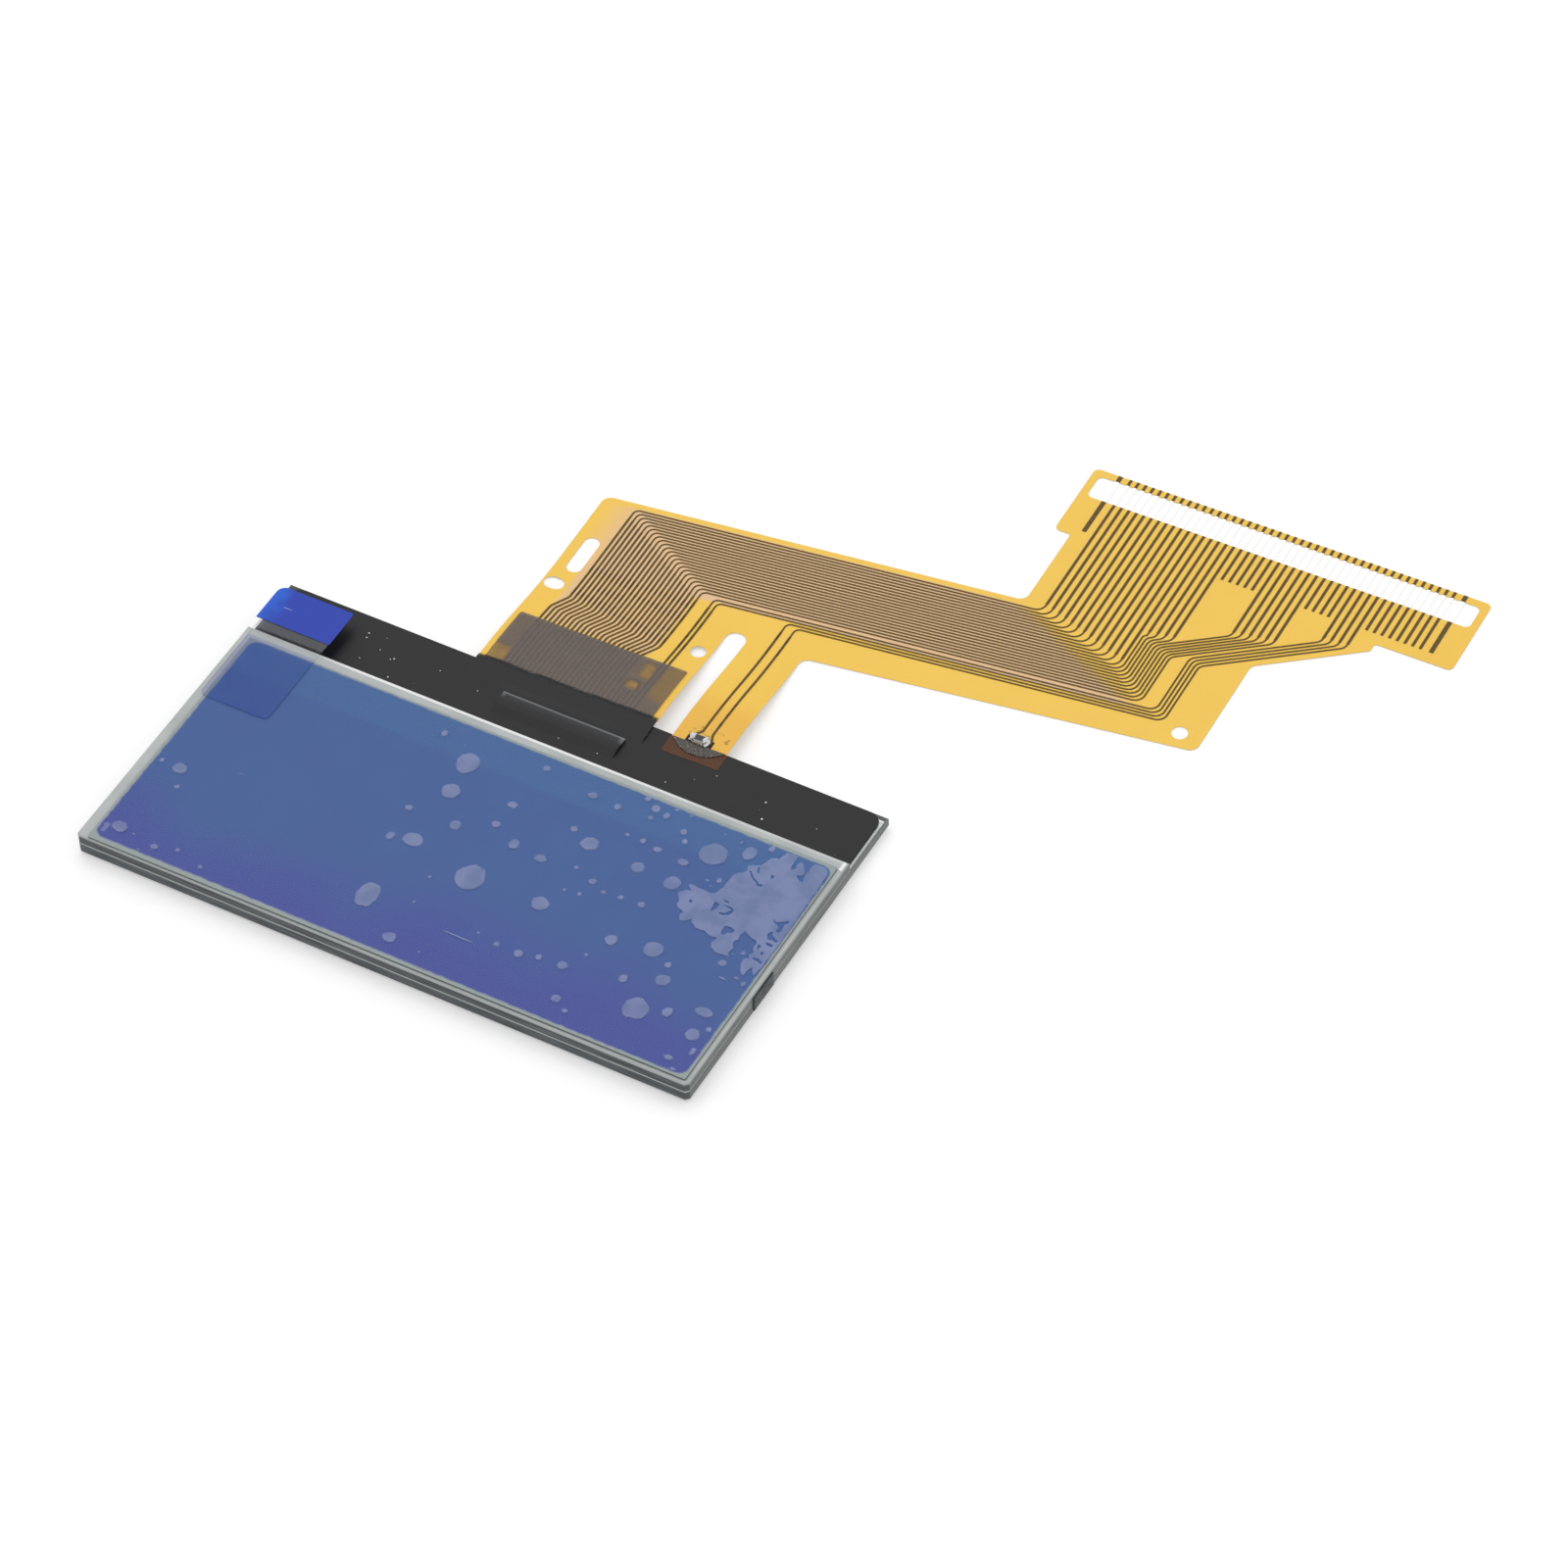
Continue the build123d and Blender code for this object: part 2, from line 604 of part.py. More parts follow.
last_signal = left_count + PAIR_COUNT
signal_tracks = [track(line) for line in range(last_signal)]
sensor_tracks = [track(last_signal + place) + pads[place] for place in range(SENSOR_COUNT)]
write("signal_tracks", *layer(signal_tracks, Z_COPPER, Z_COPPER + COPPER_THICK))
write("sensor_tracks", *layer(sensor_tracks, Z_COPPER, Z_COPPER + COPPER_THICK))

spares = [strip(u, lead_low, HEAD_TOP, LEAD_WIDTH) for u in spare]
spares += [strip(u, lead_low, HEAD_TOP, WIDE_LEAD_WIDTH) for u in wide_leads]
write("spare_leads", *layer(spares, Z_COPPER, Z_COPPER + COPPER_THICK))

loop_right = pair_u[0] - LOOP_GAP
loop_left = loop_right - LOOP_WIDTH
loop = ribbon([
    (loop_left, contact_end), (loop_left, LOOP_TOP), (loop_right, LOOP_TOP),
    (loop_right, contact_end),
], width=WIDE_TRACK_WIDTH)
stub_step = LOOP_WIDTH / (STUB_COUNT + 1)
stubs = [
    strip(loop_left + (place + 1) * stub_step, contact_end, STUB_TOP, WIDE_TRACK_WIDTH)
    for place in range(STUB_COUNT)
]
write("bond_dummy_tracks", *layer([loop] + stubs, Z_COPPER, Z_COPPER + COPPER_THICK))


# tinned skin of the bare leads in the window
def tin_skin(u, width):
    half = width / 2
    low, high = Z_COPPER, Z_COPPER + COPPER_THICK
    skin = block(
        u - half - TIN_THICK, u + half + TIN_THICK, window_low, window_top,
        low - TIN_THICK, high + TIN_THICK,
    )
    return flex_place * (skin - block(u - half, u + half, window_low, window_top, low, high))


write(
    "lead_tinning",
    *[tin_skin(u, LEAD_WIDTH) for u in leads],
    *[tin_skin(u, WIDE_LEAD_WIDTH) for u in wide_leads],
)

# bond film between the flex and the glass
bond_film = block(
    FLEX_LEFT + BOND_MARGIN, slot_left - BOND_MARGIN, -BOND_OVERLAP, -BOND_MARGIN,
    Z_LEDGE, Z_LEDGE + COVERLAY_THICK,
)
write("flex_bond_film", flex_place * bond_film)

# dark tape over the bond
cover_face = rounded(
    FLEX_LEFT + COVER_INSET, slot_left - COVER_INSET, COVER_NEAR, COVER_FAR, ROUND_SMALL
)
cover_low = Z_TOP + LAYER_CLEARANCE
cover_high = cover_low + COVER_THICK
write("bond_cover_tape", *layer([cover_face], cover_low, cover_high))

# black coating: a thin coat on the ledge, a hump over the chip and a lap over the flex
coat_rear = Y_REAR - EDGE_ARRIS
coat_left = -X_EDGE + COAT_LEFT_GAP
coat_right = X_EDGE - COAT_RIGHT_GAP
coat_face = outline([
    (coat_left, Y_STEP, 0), (coat_right, Y_STEP, 0),
    (coat_right, coat_rear, COAT_ROUND), (coat_left, coat_rear, COAT_ROUND),
])
coat = Pos(0, 0, Z_LEDGE) * extrude(coat_face, COAT_THICK)
hump_top = z_chip + CHIP_THICK + COAT_OVER_CHIP
hump_side = Plane.YZ * make_face(Polyline([
    (chip_near - COAT_SLOPE_RUN, Z_LEDGE), (chip_near, hump_top),
    (chip_far + COAT_WRAP, hump_top), (chip_far + COAT_WRAP, Z_LEDGE),
], close=True))
hump = Pos(CHIP_X) * extrude(hump_side, CHIP_LENGTH / 2 + COAT_WRAP, both=True)
lap_top = Z_LEDGE + cover_high + COAT_LAP_THICK
lap_side = Plane.YZ * make_face(Polyline([
    (COAT_LAP_NEAR - COAT_RAMP, Z_LEDGE), (COAT_LAP_NEAR, lap_top),
    (0, lap_top), (0, Z_LEDGE),
], close=True))
lap_front = extrude(lap_side, (slot_left - FLEX_LEFT) / 2, both=True)
lap_front = flex_place * Pos((FLEX_LEFT + slot_left) / 2) * lap_front
lap_over_film = rounded(FLEX_LEFT, slot_left, -BOND_OVERLAP, COVER_NEAR, COAT_LAP_ROUND)
lap_over_tape = rounded(FLEX_LEFT, slot_left, -BOND_OVERLAP, COAT_LAP_FAR, COAT_LAP_ROUND)
lap = layer([lap_over_film], Z_TOP + LAYER_CLEARANCE, cover_high + COAT_LAP_THICK)
lap += layer([lap_over_tape], cover_high + LAYER_CLEARANCE, cover_high + COAT_LAP_THICK)
flex_room = flex_place * block(
    FLEX_LEFT, slot_left, -BOND_OVERLAP, DROOP_RUN, Z_LEDGE, Z_LEDGE + Z_TOP + LAYER_CLEARANCE
)
strip_left = tail_middle - STRIP_WIDTH / 2
strip_right = tail_middle + STRIP_WIDTH / 2
strip_far = -TAIL_OVERLAP - STRIP_GAP
strip_near = strip_far - STRIP_DEPTH
strip_room = flex_place * block(
    strip_left, strip_right, strip_near, DROOP_RUN, Z_LEDGE, Z_LEDGE + GLUE_THICK
)
coat = coat + hump + lap_front - flex_room + lap[0] + lap[1] - strip_room - chip - chip_bond
coat -= block(-X_EDGE, X_EDGE, Y_FRONT, Y_STEP, Z_LEDGE, Z_FACE)
write("ledge_coating", coat)

# tape and glue under the end of the tail
fixing_strip = block(strip_left, strip_right, strip_near, strip_far, Z_LEDGE, Z_LEDGE + STRIP_THICK)
write("sensor_tape", flex_place * fixing_strip)
glue_ends = [(tail_middle - GLUE_WIDTH / 2, strip_far), (tail_middle + GLUE_WIDTH / 2, strip_far)]
glue_low = (tail_middle + GLUE_BITE, strip_far - GLUE_DEPTH)
glue_face = make_face([Line(*glue_ends), ThreePointArc(glue_ends[1], glue_low, glue_ends[0])])
glue = Pos(0, 0, Z_LEDGE + STRIP_THICK) * extrude(glue_face, GLUE_THICK)
write("fixing_glue", flex_place * glue)

# chip resistor standing on the tail
resistor_place = flex_place * Pos(resistor_u, RESISTOR_V, Z_LEDGE + Z_TOP)
half_length = RESISTOR_LENGTH / 2
half_width = RESISTOR_WIDTH / 2
body = block(
    -half_length + TERMINAL_THICK, half_length - TERMINAL_THICK,
    -half_width + TERMINAL_THICK, half_width - TERMINAL_THICK,
    TERMINAL_THICK, RESISTOR_HEIGHT - TERMINAL_THICK,
)
caps = [
    block(left, left + TERMINAL_LENGTH, -half_width, half_width, 0, RESISTOR_HEIGHT) - body
    for left in (-half_length, half_length - TERMINAL_LENGTH)
]
coat_edge = half_length - TERMINAL_LENGTH - RESISTOR_COAT_MARGIN
coat_side = half_width - TERMINAL_THICK - RESISTOR_COAT_MARGIN
body_top = RESISTOR_HEIGHT - TERMINAL_THICK
resistor_coat = block(
    -coat_edge, coat_edge, -coat_side, coat_side, body_top, body_top + RESISTOR_COAT_THICK
)
write("resistor_body", resistor_place * body)
write("resistor_coat", resistor_place * resistor_coat)
write("resistor_terminals", *[resistor_place * cap for cap in caps])

# solder from the copper pads up to the terminals
pad_depth = Z_TOP - Z_COPPER - COPPER_THICK


def solder(side):
    inner = side * (PAD_OFFSET - PAD_LENGTH / 2)
    outer = side * (PAD_OFFSET + PAD_LENGTH / 2 - SOLDER_SPARE)
    left, right = sorted((inner, outer))
    half = PAD_WIDTH / 2 - SOLDER_SPARE
    joint = block(left, right, -half, half, 0, SOLDER_HEIGHT)
    joint = fillet(joint.faces().sort_by(Axis.Z)[-1].edges(), SOLDER_ROUND)
    foot = block(left + SOLDER_SPARE, right - SOLDER_SPARE, -half, half, -pad_depth, 0)
    return resistor_place * (joint + foot - caps[0] - caps[1] - body)


write("solder_joints", solder(-1), solder(1))
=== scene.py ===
import bmesh
import bpy
from math import cos, pi, radians, sin, tan
from mathutils import Matrix, Vector
from mathutils.noise import noise


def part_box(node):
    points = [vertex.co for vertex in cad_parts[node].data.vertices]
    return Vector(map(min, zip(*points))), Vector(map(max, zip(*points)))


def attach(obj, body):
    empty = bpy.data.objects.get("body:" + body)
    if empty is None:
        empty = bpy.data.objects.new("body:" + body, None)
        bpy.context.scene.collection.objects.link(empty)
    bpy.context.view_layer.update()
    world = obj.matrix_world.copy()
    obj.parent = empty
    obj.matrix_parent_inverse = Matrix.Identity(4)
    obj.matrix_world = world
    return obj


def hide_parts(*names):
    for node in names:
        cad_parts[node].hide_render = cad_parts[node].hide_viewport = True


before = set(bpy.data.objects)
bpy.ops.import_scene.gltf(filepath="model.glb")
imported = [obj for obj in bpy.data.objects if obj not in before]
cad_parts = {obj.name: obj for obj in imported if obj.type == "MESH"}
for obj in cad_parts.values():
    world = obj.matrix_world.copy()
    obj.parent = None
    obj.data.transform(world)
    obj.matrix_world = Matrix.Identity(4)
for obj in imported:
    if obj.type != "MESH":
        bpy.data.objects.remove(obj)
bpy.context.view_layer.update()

# One millimetre, in metres.
MM = 0.001

# The camera that took the picture: its turn about the upright, its height angle and its tilt in
# degrees, its distance and shifts from the front left corner of the glass in millimetres, and the
# focal length for a picture 36 mm wide.
CAMERA_TURN = -58.918
CAMERA_HEIGHT = 47.616
CAMERA_TILT = -2.591
CAMERA_DISTANCE = 646.69
CAMERA_RIGHT = 65.78
CAMERA_UP = 6.20
CAMERA_ANCHOR = (-32.75, -18.87, 0.2)
PICTURE_WIDTH = 36.0
FOCAL_LENGTH = 159.34
# Nothing nearer than this many metres is drawn.
NEAR_CLIP = 0.01

# Where the pieces lie, in millimetres. X runs along the display, Y from the display to the flex.
def lows_highs(node):
    """the low and the high corner of a CAD node's box"""
    low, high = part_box(node)
    return low / MM, high / MM


GLASS_LOW, GLASS_HIGH = lows_highs("front_glass")
LEDGE_LOW, LEDGE_HIGH = lows_highs("rear_glass")
COAT_LOW, COAT_HIGH = lows_highs("ledge_coating")
CHIP_LOW, CHIP_HIGH = lows_highs("driver_chip")
TAB_LOW, TAB_HIGH = lows_highs("tab_tape")
FILM_FACE = TAB_LOW.z

# The flex lies a little turned on the ledge: u runs along its fingers, v away from the glass.
FLEX_TURN = 1.4
FLEX_START = (0.0, LEDGE_HIGH.y, 0.0)
TAIL_ENDS = (9.7, 15.5)

# The blue field that the liquid crystal makes inside the seal: left, right, near and far end.
FIELD = (-31.25, 31.95, -18.1, 9.8)
FIELD_ROUND = 1.0


def linear(code):
    """an sRGB hex colour as linear red, green, blue and one"""
    parts = [int(code[at:at + 2], 16) / 255 for at in (0, 2, 4)]
    return [p / 12.92 if p <= 0.04045 else ((p + 0.055) / 1.055) ** 2.4 for p in parts] + [1.0]


def fill(tree, node, sockets):
    """gives the sockets of a shader node their values, or links them to other nodes"""
    for name, value in sockets.items():
        socket = node.inputs[name]
        if isinstance(name, str):
            socket = next(s for s in node.inputs if s.enabled and s.name == name)
        if isinstance(value, bpy.types.Node):
            value = next(s for s in value.outputs if s.enabled)
        if isinstance(value, bpy.types.NodeSocket):
            tree.links.new(value, socket)
        else:
            socket.default_value = value


def put(tree, kind, sockets, **settings):
    """adds one shader node with its settings and links"""
    node = tree.nodes.new("ShaderNode" + kind)
    for name, value in settings.items():
        setattr(node, name, value)
    fill(tree, node, sockets)
    return node


def start(name):
    """a material with its tree, its Principled shader and the place on the object in millimetres"""
    material = bpy.data.materials.new(name)
    material.use_nodes = True
    tree = material.node_tree
    where = put(tree, "TexCoord", {}).outputs["Object"]
    place = put(tree, "VectorMath", {0: where, "Scale": 1 / MM}, operation="SCALE")
    return material, tree, tree.nodes["Principled BSDF"], place


def how_level(tree):
    """how level a face lies: one where it faces up or down, nothing where it is upright"""
    normal = put(tree, "NewGeometry", {}).outputs["True Normal"]
    rise = put(tree, "SeparateXYZ", {0: normal}).outputs["Z"]
    return put(tree, "Math", {0: rise}, operation="ABSOLUTE")


SIDE_LEVEL = (0.2, 0.6)


def upright(tree):
    """one where a face is a cut side, nothing where it lies level"""
    first, last = SIDE_LEVEL
    return put(tree, "MapRange", {
        "Value": how_level(tree), "From Min": first, "From Max": last, "To Min": 1.0, "To Max": 0.0,
    })


def zone(tree, place, edges, corner, reach, shares=(1.0, 0.0), course="SMOOTHSTEP", waves=()):
    """one share inside a rectangle and another beyond it. Its edges are its left, right, near and
    far end, its corners are rounded, and the change runs from the first to the last reach past the
    outline, all in millimetres. Waves, a noise and its height, make the outline ragged."""
    left, right, near, far = edges
    middle = ((left + right) / 2, (near + far) / 2, 0)
    half = ((right - left) / 2 - corner, (far - near) / 2 - corner, GLASS_HIGH.x)
    away = put(tree, "VectorMath", {0: place, 1: middle}, operation="SUBTRACT")
    away = put(tree, "VectorMath", {0: away}, operation="ABSOLUTE")
    past = put(tree, "VectorMath", {0: away, 1: half}, operation="SUBTRACT")
    past = put(tree, "VectorMath", {0: past, 1: (0, 0, 0)}, operation="MAXIMUM")
    past = put(tree, "VectorMath", {0: past}, operation="LENGTH")
    if waves:
        cloud, height = waves
        past = put(tree, "Math", {0: cloud, 1: height, 2: past}, operation="MULTIPLY_ADD")
    first, last = reach
    inside, outside = shares
    return put(tree, "MapRange", {
        "Value": past, "From Min": corner + first, "From Max": corner + last, "To Min": inside,
        "To Max": outside,
    }, interpolation_type=course)


def mottled(tree, place, size, detail, low, high, spread=(0.0, 1.0)):
    """a noise of a size in millimetres, and the colour that goes from one tone to another with it"""
    cloud = put(tree, "TexNoise", {"Vector": place, "Scale": 1 / size, "Detail": detail})
    first, last = spread
    share = put(tree, "MapRange", {"Value": cloud, "From Min": first, "From Max": last})
    tone = put(tree, "Mix", {"Factor": share, "A": linear(low), "B": linear(high)}, data_type="RGBA")
    return cloud, tone


def flex_place(tree, place):
    """the place on the flex, in its own u and v"""
    turn = {"Vector": place, "Location": FLEX_START, "Rotation": (0, 0, radians(FLEX_TURN))}
    return put(tree, "Mapping", turn, vector_type="TEXTURE")


def dress(node, material):
    """gives a CAD node its finish"""
    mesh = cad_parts[node].data
    mesh.materials.clear()
    mesh.materials.append(material)


def add_piece(name, shape, material, smooth):
    """a new piece of the object from a bmesh, with the finish it is given"""
    mesh = bpy.data.meshes.new(name)
    bmesh.ops.recalc_face_normals(shape, faces=shape.faces)
    shape.to_mesh(mesh)
    shape.free()
    if smooth:
        mesh.shade_smooth()
    mesh.materials.append(material)
    made = bpy.data.objects.new(name, mesh)
    bpy.context.scene.collection.objects.link(made)
    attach(made, "root")
    return made


# Soda lime glass, float made, then cut and its edges ground: clear on its faces with a faint green,
# a frosted line on each arris and streaked grey on its cut sides. Painted shade makes the sides that
# face the front darkest, and painted light makes those that face the rear palest. A painted highlight
# draws a pale line where the two plates meet and along the front plate's top arris. The streaks are
# drawn coarser than a real grind.
STREAK_LENGTH = 4.0
STREAK_HEIGHT = 0.2
STREAK_SPREAD = (0.35, 0.65)
# The facings over which the sides' painted shade turns from the front's to the others', and the rear's
# painted light begins.
FRONT_FACING = (-0.8, -0.4)
REAR_FACING = (0.5, 0.7)
ARRIS_LEAN = cos(pi / 4)
ARRIS_SPREAD = (0.05, 0.2)
# Where the painted highlights lie: on the arrises at the seam of the two plates and on the front plate's
# top.
SEAM_HEIGHT = (GLASS_LOW.z + LEDGE_HIGH.z) / 2
SEAM_REACH = (0.05, 0.11)
SEAM_END = (GLASS_HIGH.y, GLASS_HIGH.y + 0.2)
TOP_ARRIS = (GLASS_HIGH.z - 0.15, GLASS_HIGH.z - 0.1)
POLISHED_ROUGHNESS = 0.04
GROUND_ROUGHNESS = 0.5


def ground_sides(tree, place, spread):
    """the tone of the glass's cut sides and arrises, with painted shade and light by the way they face
    and painted highlights on the seam and the top arris, and one where a face is such a side
    """
    normal = put(tree, "NewGeometry", {}).outputs["True Normal"]
    facing = put(tree, "SeparateXYZ", {0: normal}).outputs["Y"]
    split = put(tree, "SeparateXYZ", {0: place})
    # Painted shade: the sides that face the front are darkest, the other sides lighter.
    front = put(tree, "Mix", {
        "Factor": spread, "A": linear("3E4244"), "B": linear("606568"),
    }, data_type="RGBA")
    other = put(tree, "Mix", {
        "Factor": spread, "A": linear("686A6A"), "B": linear("808282"),
    }, data_type="RGBA")
    turned = put(tree, "MapRange", {
        "Value": facing, "From Min": FRONT_FACING[0], "From Max": FRONT_FACING[1],
    })
    shade = put(tree, "Mix", {"Factor": turned, "A": front, "B": other}, data_type="RGBA")
    # Painted light on the sides that face the rear.
    behind = put(tree, "MapRange", {
        "Value": facing, "From Min": REAR_FACING[0], "From Max": REAR_FACING[1],
    })
    lean = put(tree, "Math", {0: how_level(tree), 1: ARRIS_LEAN}, operation="SUBTRACT")
    lean = put(tree, "Math", {0: lean}, operation="ABSOLUTE")
    arris = put(tree, "MapRange", {
        "Value": lean, "From Min": ARRIS_SPREAD[0], "From Max": ARRIS_SPREAD[1], "To Min": 1.0,
        "To Max": 0.0,
    })
    # Painted highlight on the arrises along the seam of the two plates.
    off = put(tree, "Math", {0: split.outputs["Z"], 1: SEAM_HEIGHT}, operation="SUBTRACT")
    off = put(tree, "Math", {0: off}, operation="ABSOLUTE")
    seam = arris
    for value, (first, last) in ((off, SEAM_REACH), (split.outputs["Y"], SEAM_END)):
        share = put(tree, "MapRange", {
            "Value": value, "From Min": first, "From Max": last, "To Min": 1.0, "To Max": 0.0,
        })
        seam = put(tree, "Math", {0: seam, 1: share}, operation="MULTIPLY")
    # Painted highlight on the front plate's top arris.
    top = put(tree, "MapRange", {
        "Value": split.outputs["Z"], "From Min": TOP_ARRIS[0], "From Max": TOP_ARRIS[1],
    })
    top = put(tree, "Math", {0: top, 1: arris}, operation="MULTIPLY")
    for share, code in ((behind, "BCC0C0"), (seam, "CDD2D0"), (top, "A4A9A8")):
        shade = put(tree, "Mix", {"Factor": share, "A": shade, "B": linear(code)}, data_type="RGBA")
    ground = put(tree, "Math", {0: upright(tree), 1: arris}, operation="MAXIMUM")
    return shade, ground


# A painted reflection: the white line of the room along the front plate's rear edge, fading at both
# ends.
REAR_LINE = (GLASS_HIGH.y - 0.42, GLASS_HIGH.y - 0.36)
REAR_LINE_BEGIN = (-26.0, -20.0)
REAR_LINE_END = (4.0, 26.0)
REAR_LINE_LEFT_OVER = 0.3
FRONT_PLATE = (GLASS_LOW.z, (GLASS_LOW.z + GLASS_HIGH.z) / 2)


def rear_reflection(tree, place):
    """how much of the painted white reflection a place holds, from nothing to one"""
    split = put(tree, "SeparateXYZ", {0: place})
    line = 1.0
    for axis, (first, last), ahead, behind, course in (
            ("Y", REAR_LINE, 0.0, 1.0, "LINEAR"), ("Z", FRONT_PLATE, 0.0, 1.0, "LINEAR"),
            ("X", REAR_LINE_BEGIN, 0.0, 1.0, "SMOOTHSTEP"),
            ("X", REAR_LINE_END, 1.0, REAR_LINE_LEFT_OVER, "SMOOTHSTEP")):
        share = put(tree, "MapRange", {
            "Value": split.outputs[axis], "From Min": first, "From Max": last, "To Min": ahead,
            "To Max": behind,
        }, interpolation_type=course)
        line = put(tree, "Math", {0: share, 1: line}, operation="MULTIPLY")
    return line


def cut_glass(name, edges, fade, shares, dull_low, dull_high):
    """glass that is clear on its faces but for a dull zone, in or round a rectangle"""
    material, tree, shader, place = start(name)
    stretch = (1 / STREAK_LENGTH, 1 / STREAK_LENGTH, 1 / STREAK_HEIGHT)
    along = put(tree, "VectorMath", {0: place, 1: stretch}, operation="MULTIPLY")
    streak = put(tree, "TexNoise", {"Vector": along, "Scale": 1.0, "Detail": 3.0})
    first, last = STREAK_SPREAD
    spread = put(tree, "MapRange", {"Value": streak, "From Min": first, "From Max": last})
    shade, ground = ground_sides(tree, place, spread)
    colour = put(tree, "Mix", {
        "Factor": ground, "A": linear("EFF5F1"), "B": shade,
    }, data_type="RGBA")
    grey = put(tree, "Mix", {
        "Factor": spread, "A": linear(dull_low), "B": linear(dull_high),
    }, data_type="RGBA")
    # The painted white reflection along the front plate's rear edge.
    grey = put(tree, "Mix", {
        "Factor": rear_reflection(tree, place), "A": grey, "B": linear("FFFFFF"),
    }, data_type="RGBA")
    dull = zone(tree, place, edges, ZONE_ROUND, fade, shares, "LINEAR")
    flat = put(tree, "Math", {0: 1.0, 1: ground}, operation="SUBTRACT")
    dull = put(tree, "Math", {0: dull, 1: flat}, operation="MULTIPLY")
    colour = put(tree, "Mix", {"Factor": dull, "A": colour, "B": grey}, data_type="RGBA")
    closed = put(tree, "Math", {0: ground, 1: dull}, operation="MAXIMUM")
    clear = put(tree, "Math", {0: 1.0, 1: closed}, operation="SUBTRACT")
    rough = put(tree, "MapRange", {
        "Value": closed, "To Min": POLISHED_ROUGHNESS, "To Max": GROUND_ROUGHNESS,
    })
    fill(tree, shader, {
        "Base Color": colour, "Transmission Weight": clear, "Roughness": rough, "IOR": 1.52,
        "Specular IOR Level": 0.3,
    })
    return material


# The front plate is dull grey over its seal, outside the polarizer. The zone begins a little under
# the polarizer, which lies a touch turned on the glass.
ZONE_ROUND = 0.1
FACE_LOW, FACE_HIGH = lows_highs("front_polarizer")
FACE_LAP = 0.35
FACE_EDGES = (
    FACE_LOW.x + FACE_LAP, FACE_HIGH.x - FACE_LAP, FACE_LOW.y + FACE_LAP, FACE_HIGH.y - FACE_LAP)
MARGIN_REACH = (0.0, 0.04)
MARGIN_SHARES = (0.0, 0.8)
dress("front_glass", cut_glass(
    "cut_glass_over_seal", FACE_EDGES, MARGIN_REACH, MARGIN_SHARES, "A8ABAC", "B9BCBD"))
# Under the coating the ledge is black too, but for its right end where the coating thins out.
COATED = (LEDGE_LOW.x - 1.0, COAT_HIGH.x - 2.5, GLASS_HIGH.y + 0.2, LEDGE_HIGH.y + 1.0)
COATED_REACH = (0.0, 0.5)
COATED_SHARES = (1.0, 0.0)
dress("rear_glass", cut_glass(
    "cut_glass_of_ledge", COATED, COATED_REACH, COATED_SHARES, "3A3B3D", "48494C"))


# Polarizer, a cast and stretched film laminated to the glass: a quiet blue over the cell, violet
# towards the front, greener in a band at the rear, and a grey green rim where the cell ends.
BROAD_CLOUD = 16.0
FINE_CLOUD = 4.0
VIOLET_SWAY = -14.0
VIOLET_REACH = (-25.0, -15.0)
BAND_REACH = (5.5, 6.1)
BAND_SHARE = 0.3
RAGGED_SIZE = 0.9
RIM_RAGGED = 0.3
RIM_REACH = (0.02, 0.34)
# The place at the front left corner where the film hasn't wetted the polarizer.
DRY_PLACE = (-30.9, -30.5, -17.5, -16.3)
DRY_ROUND = 0.3
DRY_RAGGED = 0.8
DRY_REACH = (0.3, 0.55)
DRY_SHARE = 0.5


def blue_polarizer():
    material, tree, shader, place = start("laminated_blue_polarizer")
    y = put(tree, "SeparateXYZ", {0: place}).outputs["Y"]
    cloud = put(tree, "TexNoise", {"Vector": place, "Scale": 1 / BROAD_CLOUD, "Detail": 2.0})
    drift = put(tree, "Math", {0: cloud, 1: VIOLET_SWAY, 2: y}, operation="MULTIPLY_ADD")
    first, last = VIOLET_REACH
    violet = put(tree, "MapRange", {
        "Value": drift, "From Min": first, "From Max": last, "To Min": 1.0, "To Max": 0.0,
    }, interpolation_type="SMOOTHSTEP")
    first, last = BAND_REACH
    band = put(tree, "MapRange", {
        "Value": y, "From Min": first, "From Max": last, "To Min": 0.0, "To Max": BAND_SHARE,
    }, interpolation_type="SMOOTHSTEP")
    ragged = put(tree, "TexNoise", {"Vector": place, "Scale": 1 / RAGGED_SIZE, "Detail": 4.0})
    dry = zone(tree, place, DRY_PLACE, DRY_ROUND, DRY_REACH, (DRY_SHARE, 0.0),
               waves=(ragged, DRY_RAGGED))
    rim = zone(tree, place, FIELD, FIELD_ROUND, RIM_REACH, (0.0, 1.0), waves=(ragged, RIM_RAGGED))
    colour = mottled(tree, place, FINE_CLOUD, 3.0, "3A5591", "385B95")[1]
    for share, code in (
            (violet, "3F4A95"), (band, "3C6C9A"), (dry, "8A90B8"), (rim, "949E9C"),
            (upright(tree), "66706E")):
        colour = put(tree, "Mix", {
            "Factor": share, "A": colour, "B": linear(code),
        }, data_type="RGBA")
    fill(tree, shader, {
        "Base Color": colour, "Roughness": 0.3, "IOR": 1.49, "Specular IOR Level": 0.25,
    })
    return material


dress("front_polarizer", blue_polarizer())


# Thin films and tapes, cast or drawn: even colour with faint clouds and drawing lines, a soft gloss,
# and a darker line where they are cut. Real drawing lines are finer than these.
FILM_CLOUD = 5.0
DRAWING_LENGTH = 6.0
DRAWING_GAP = 0.4
DRAWING_RELIEF = 0.002


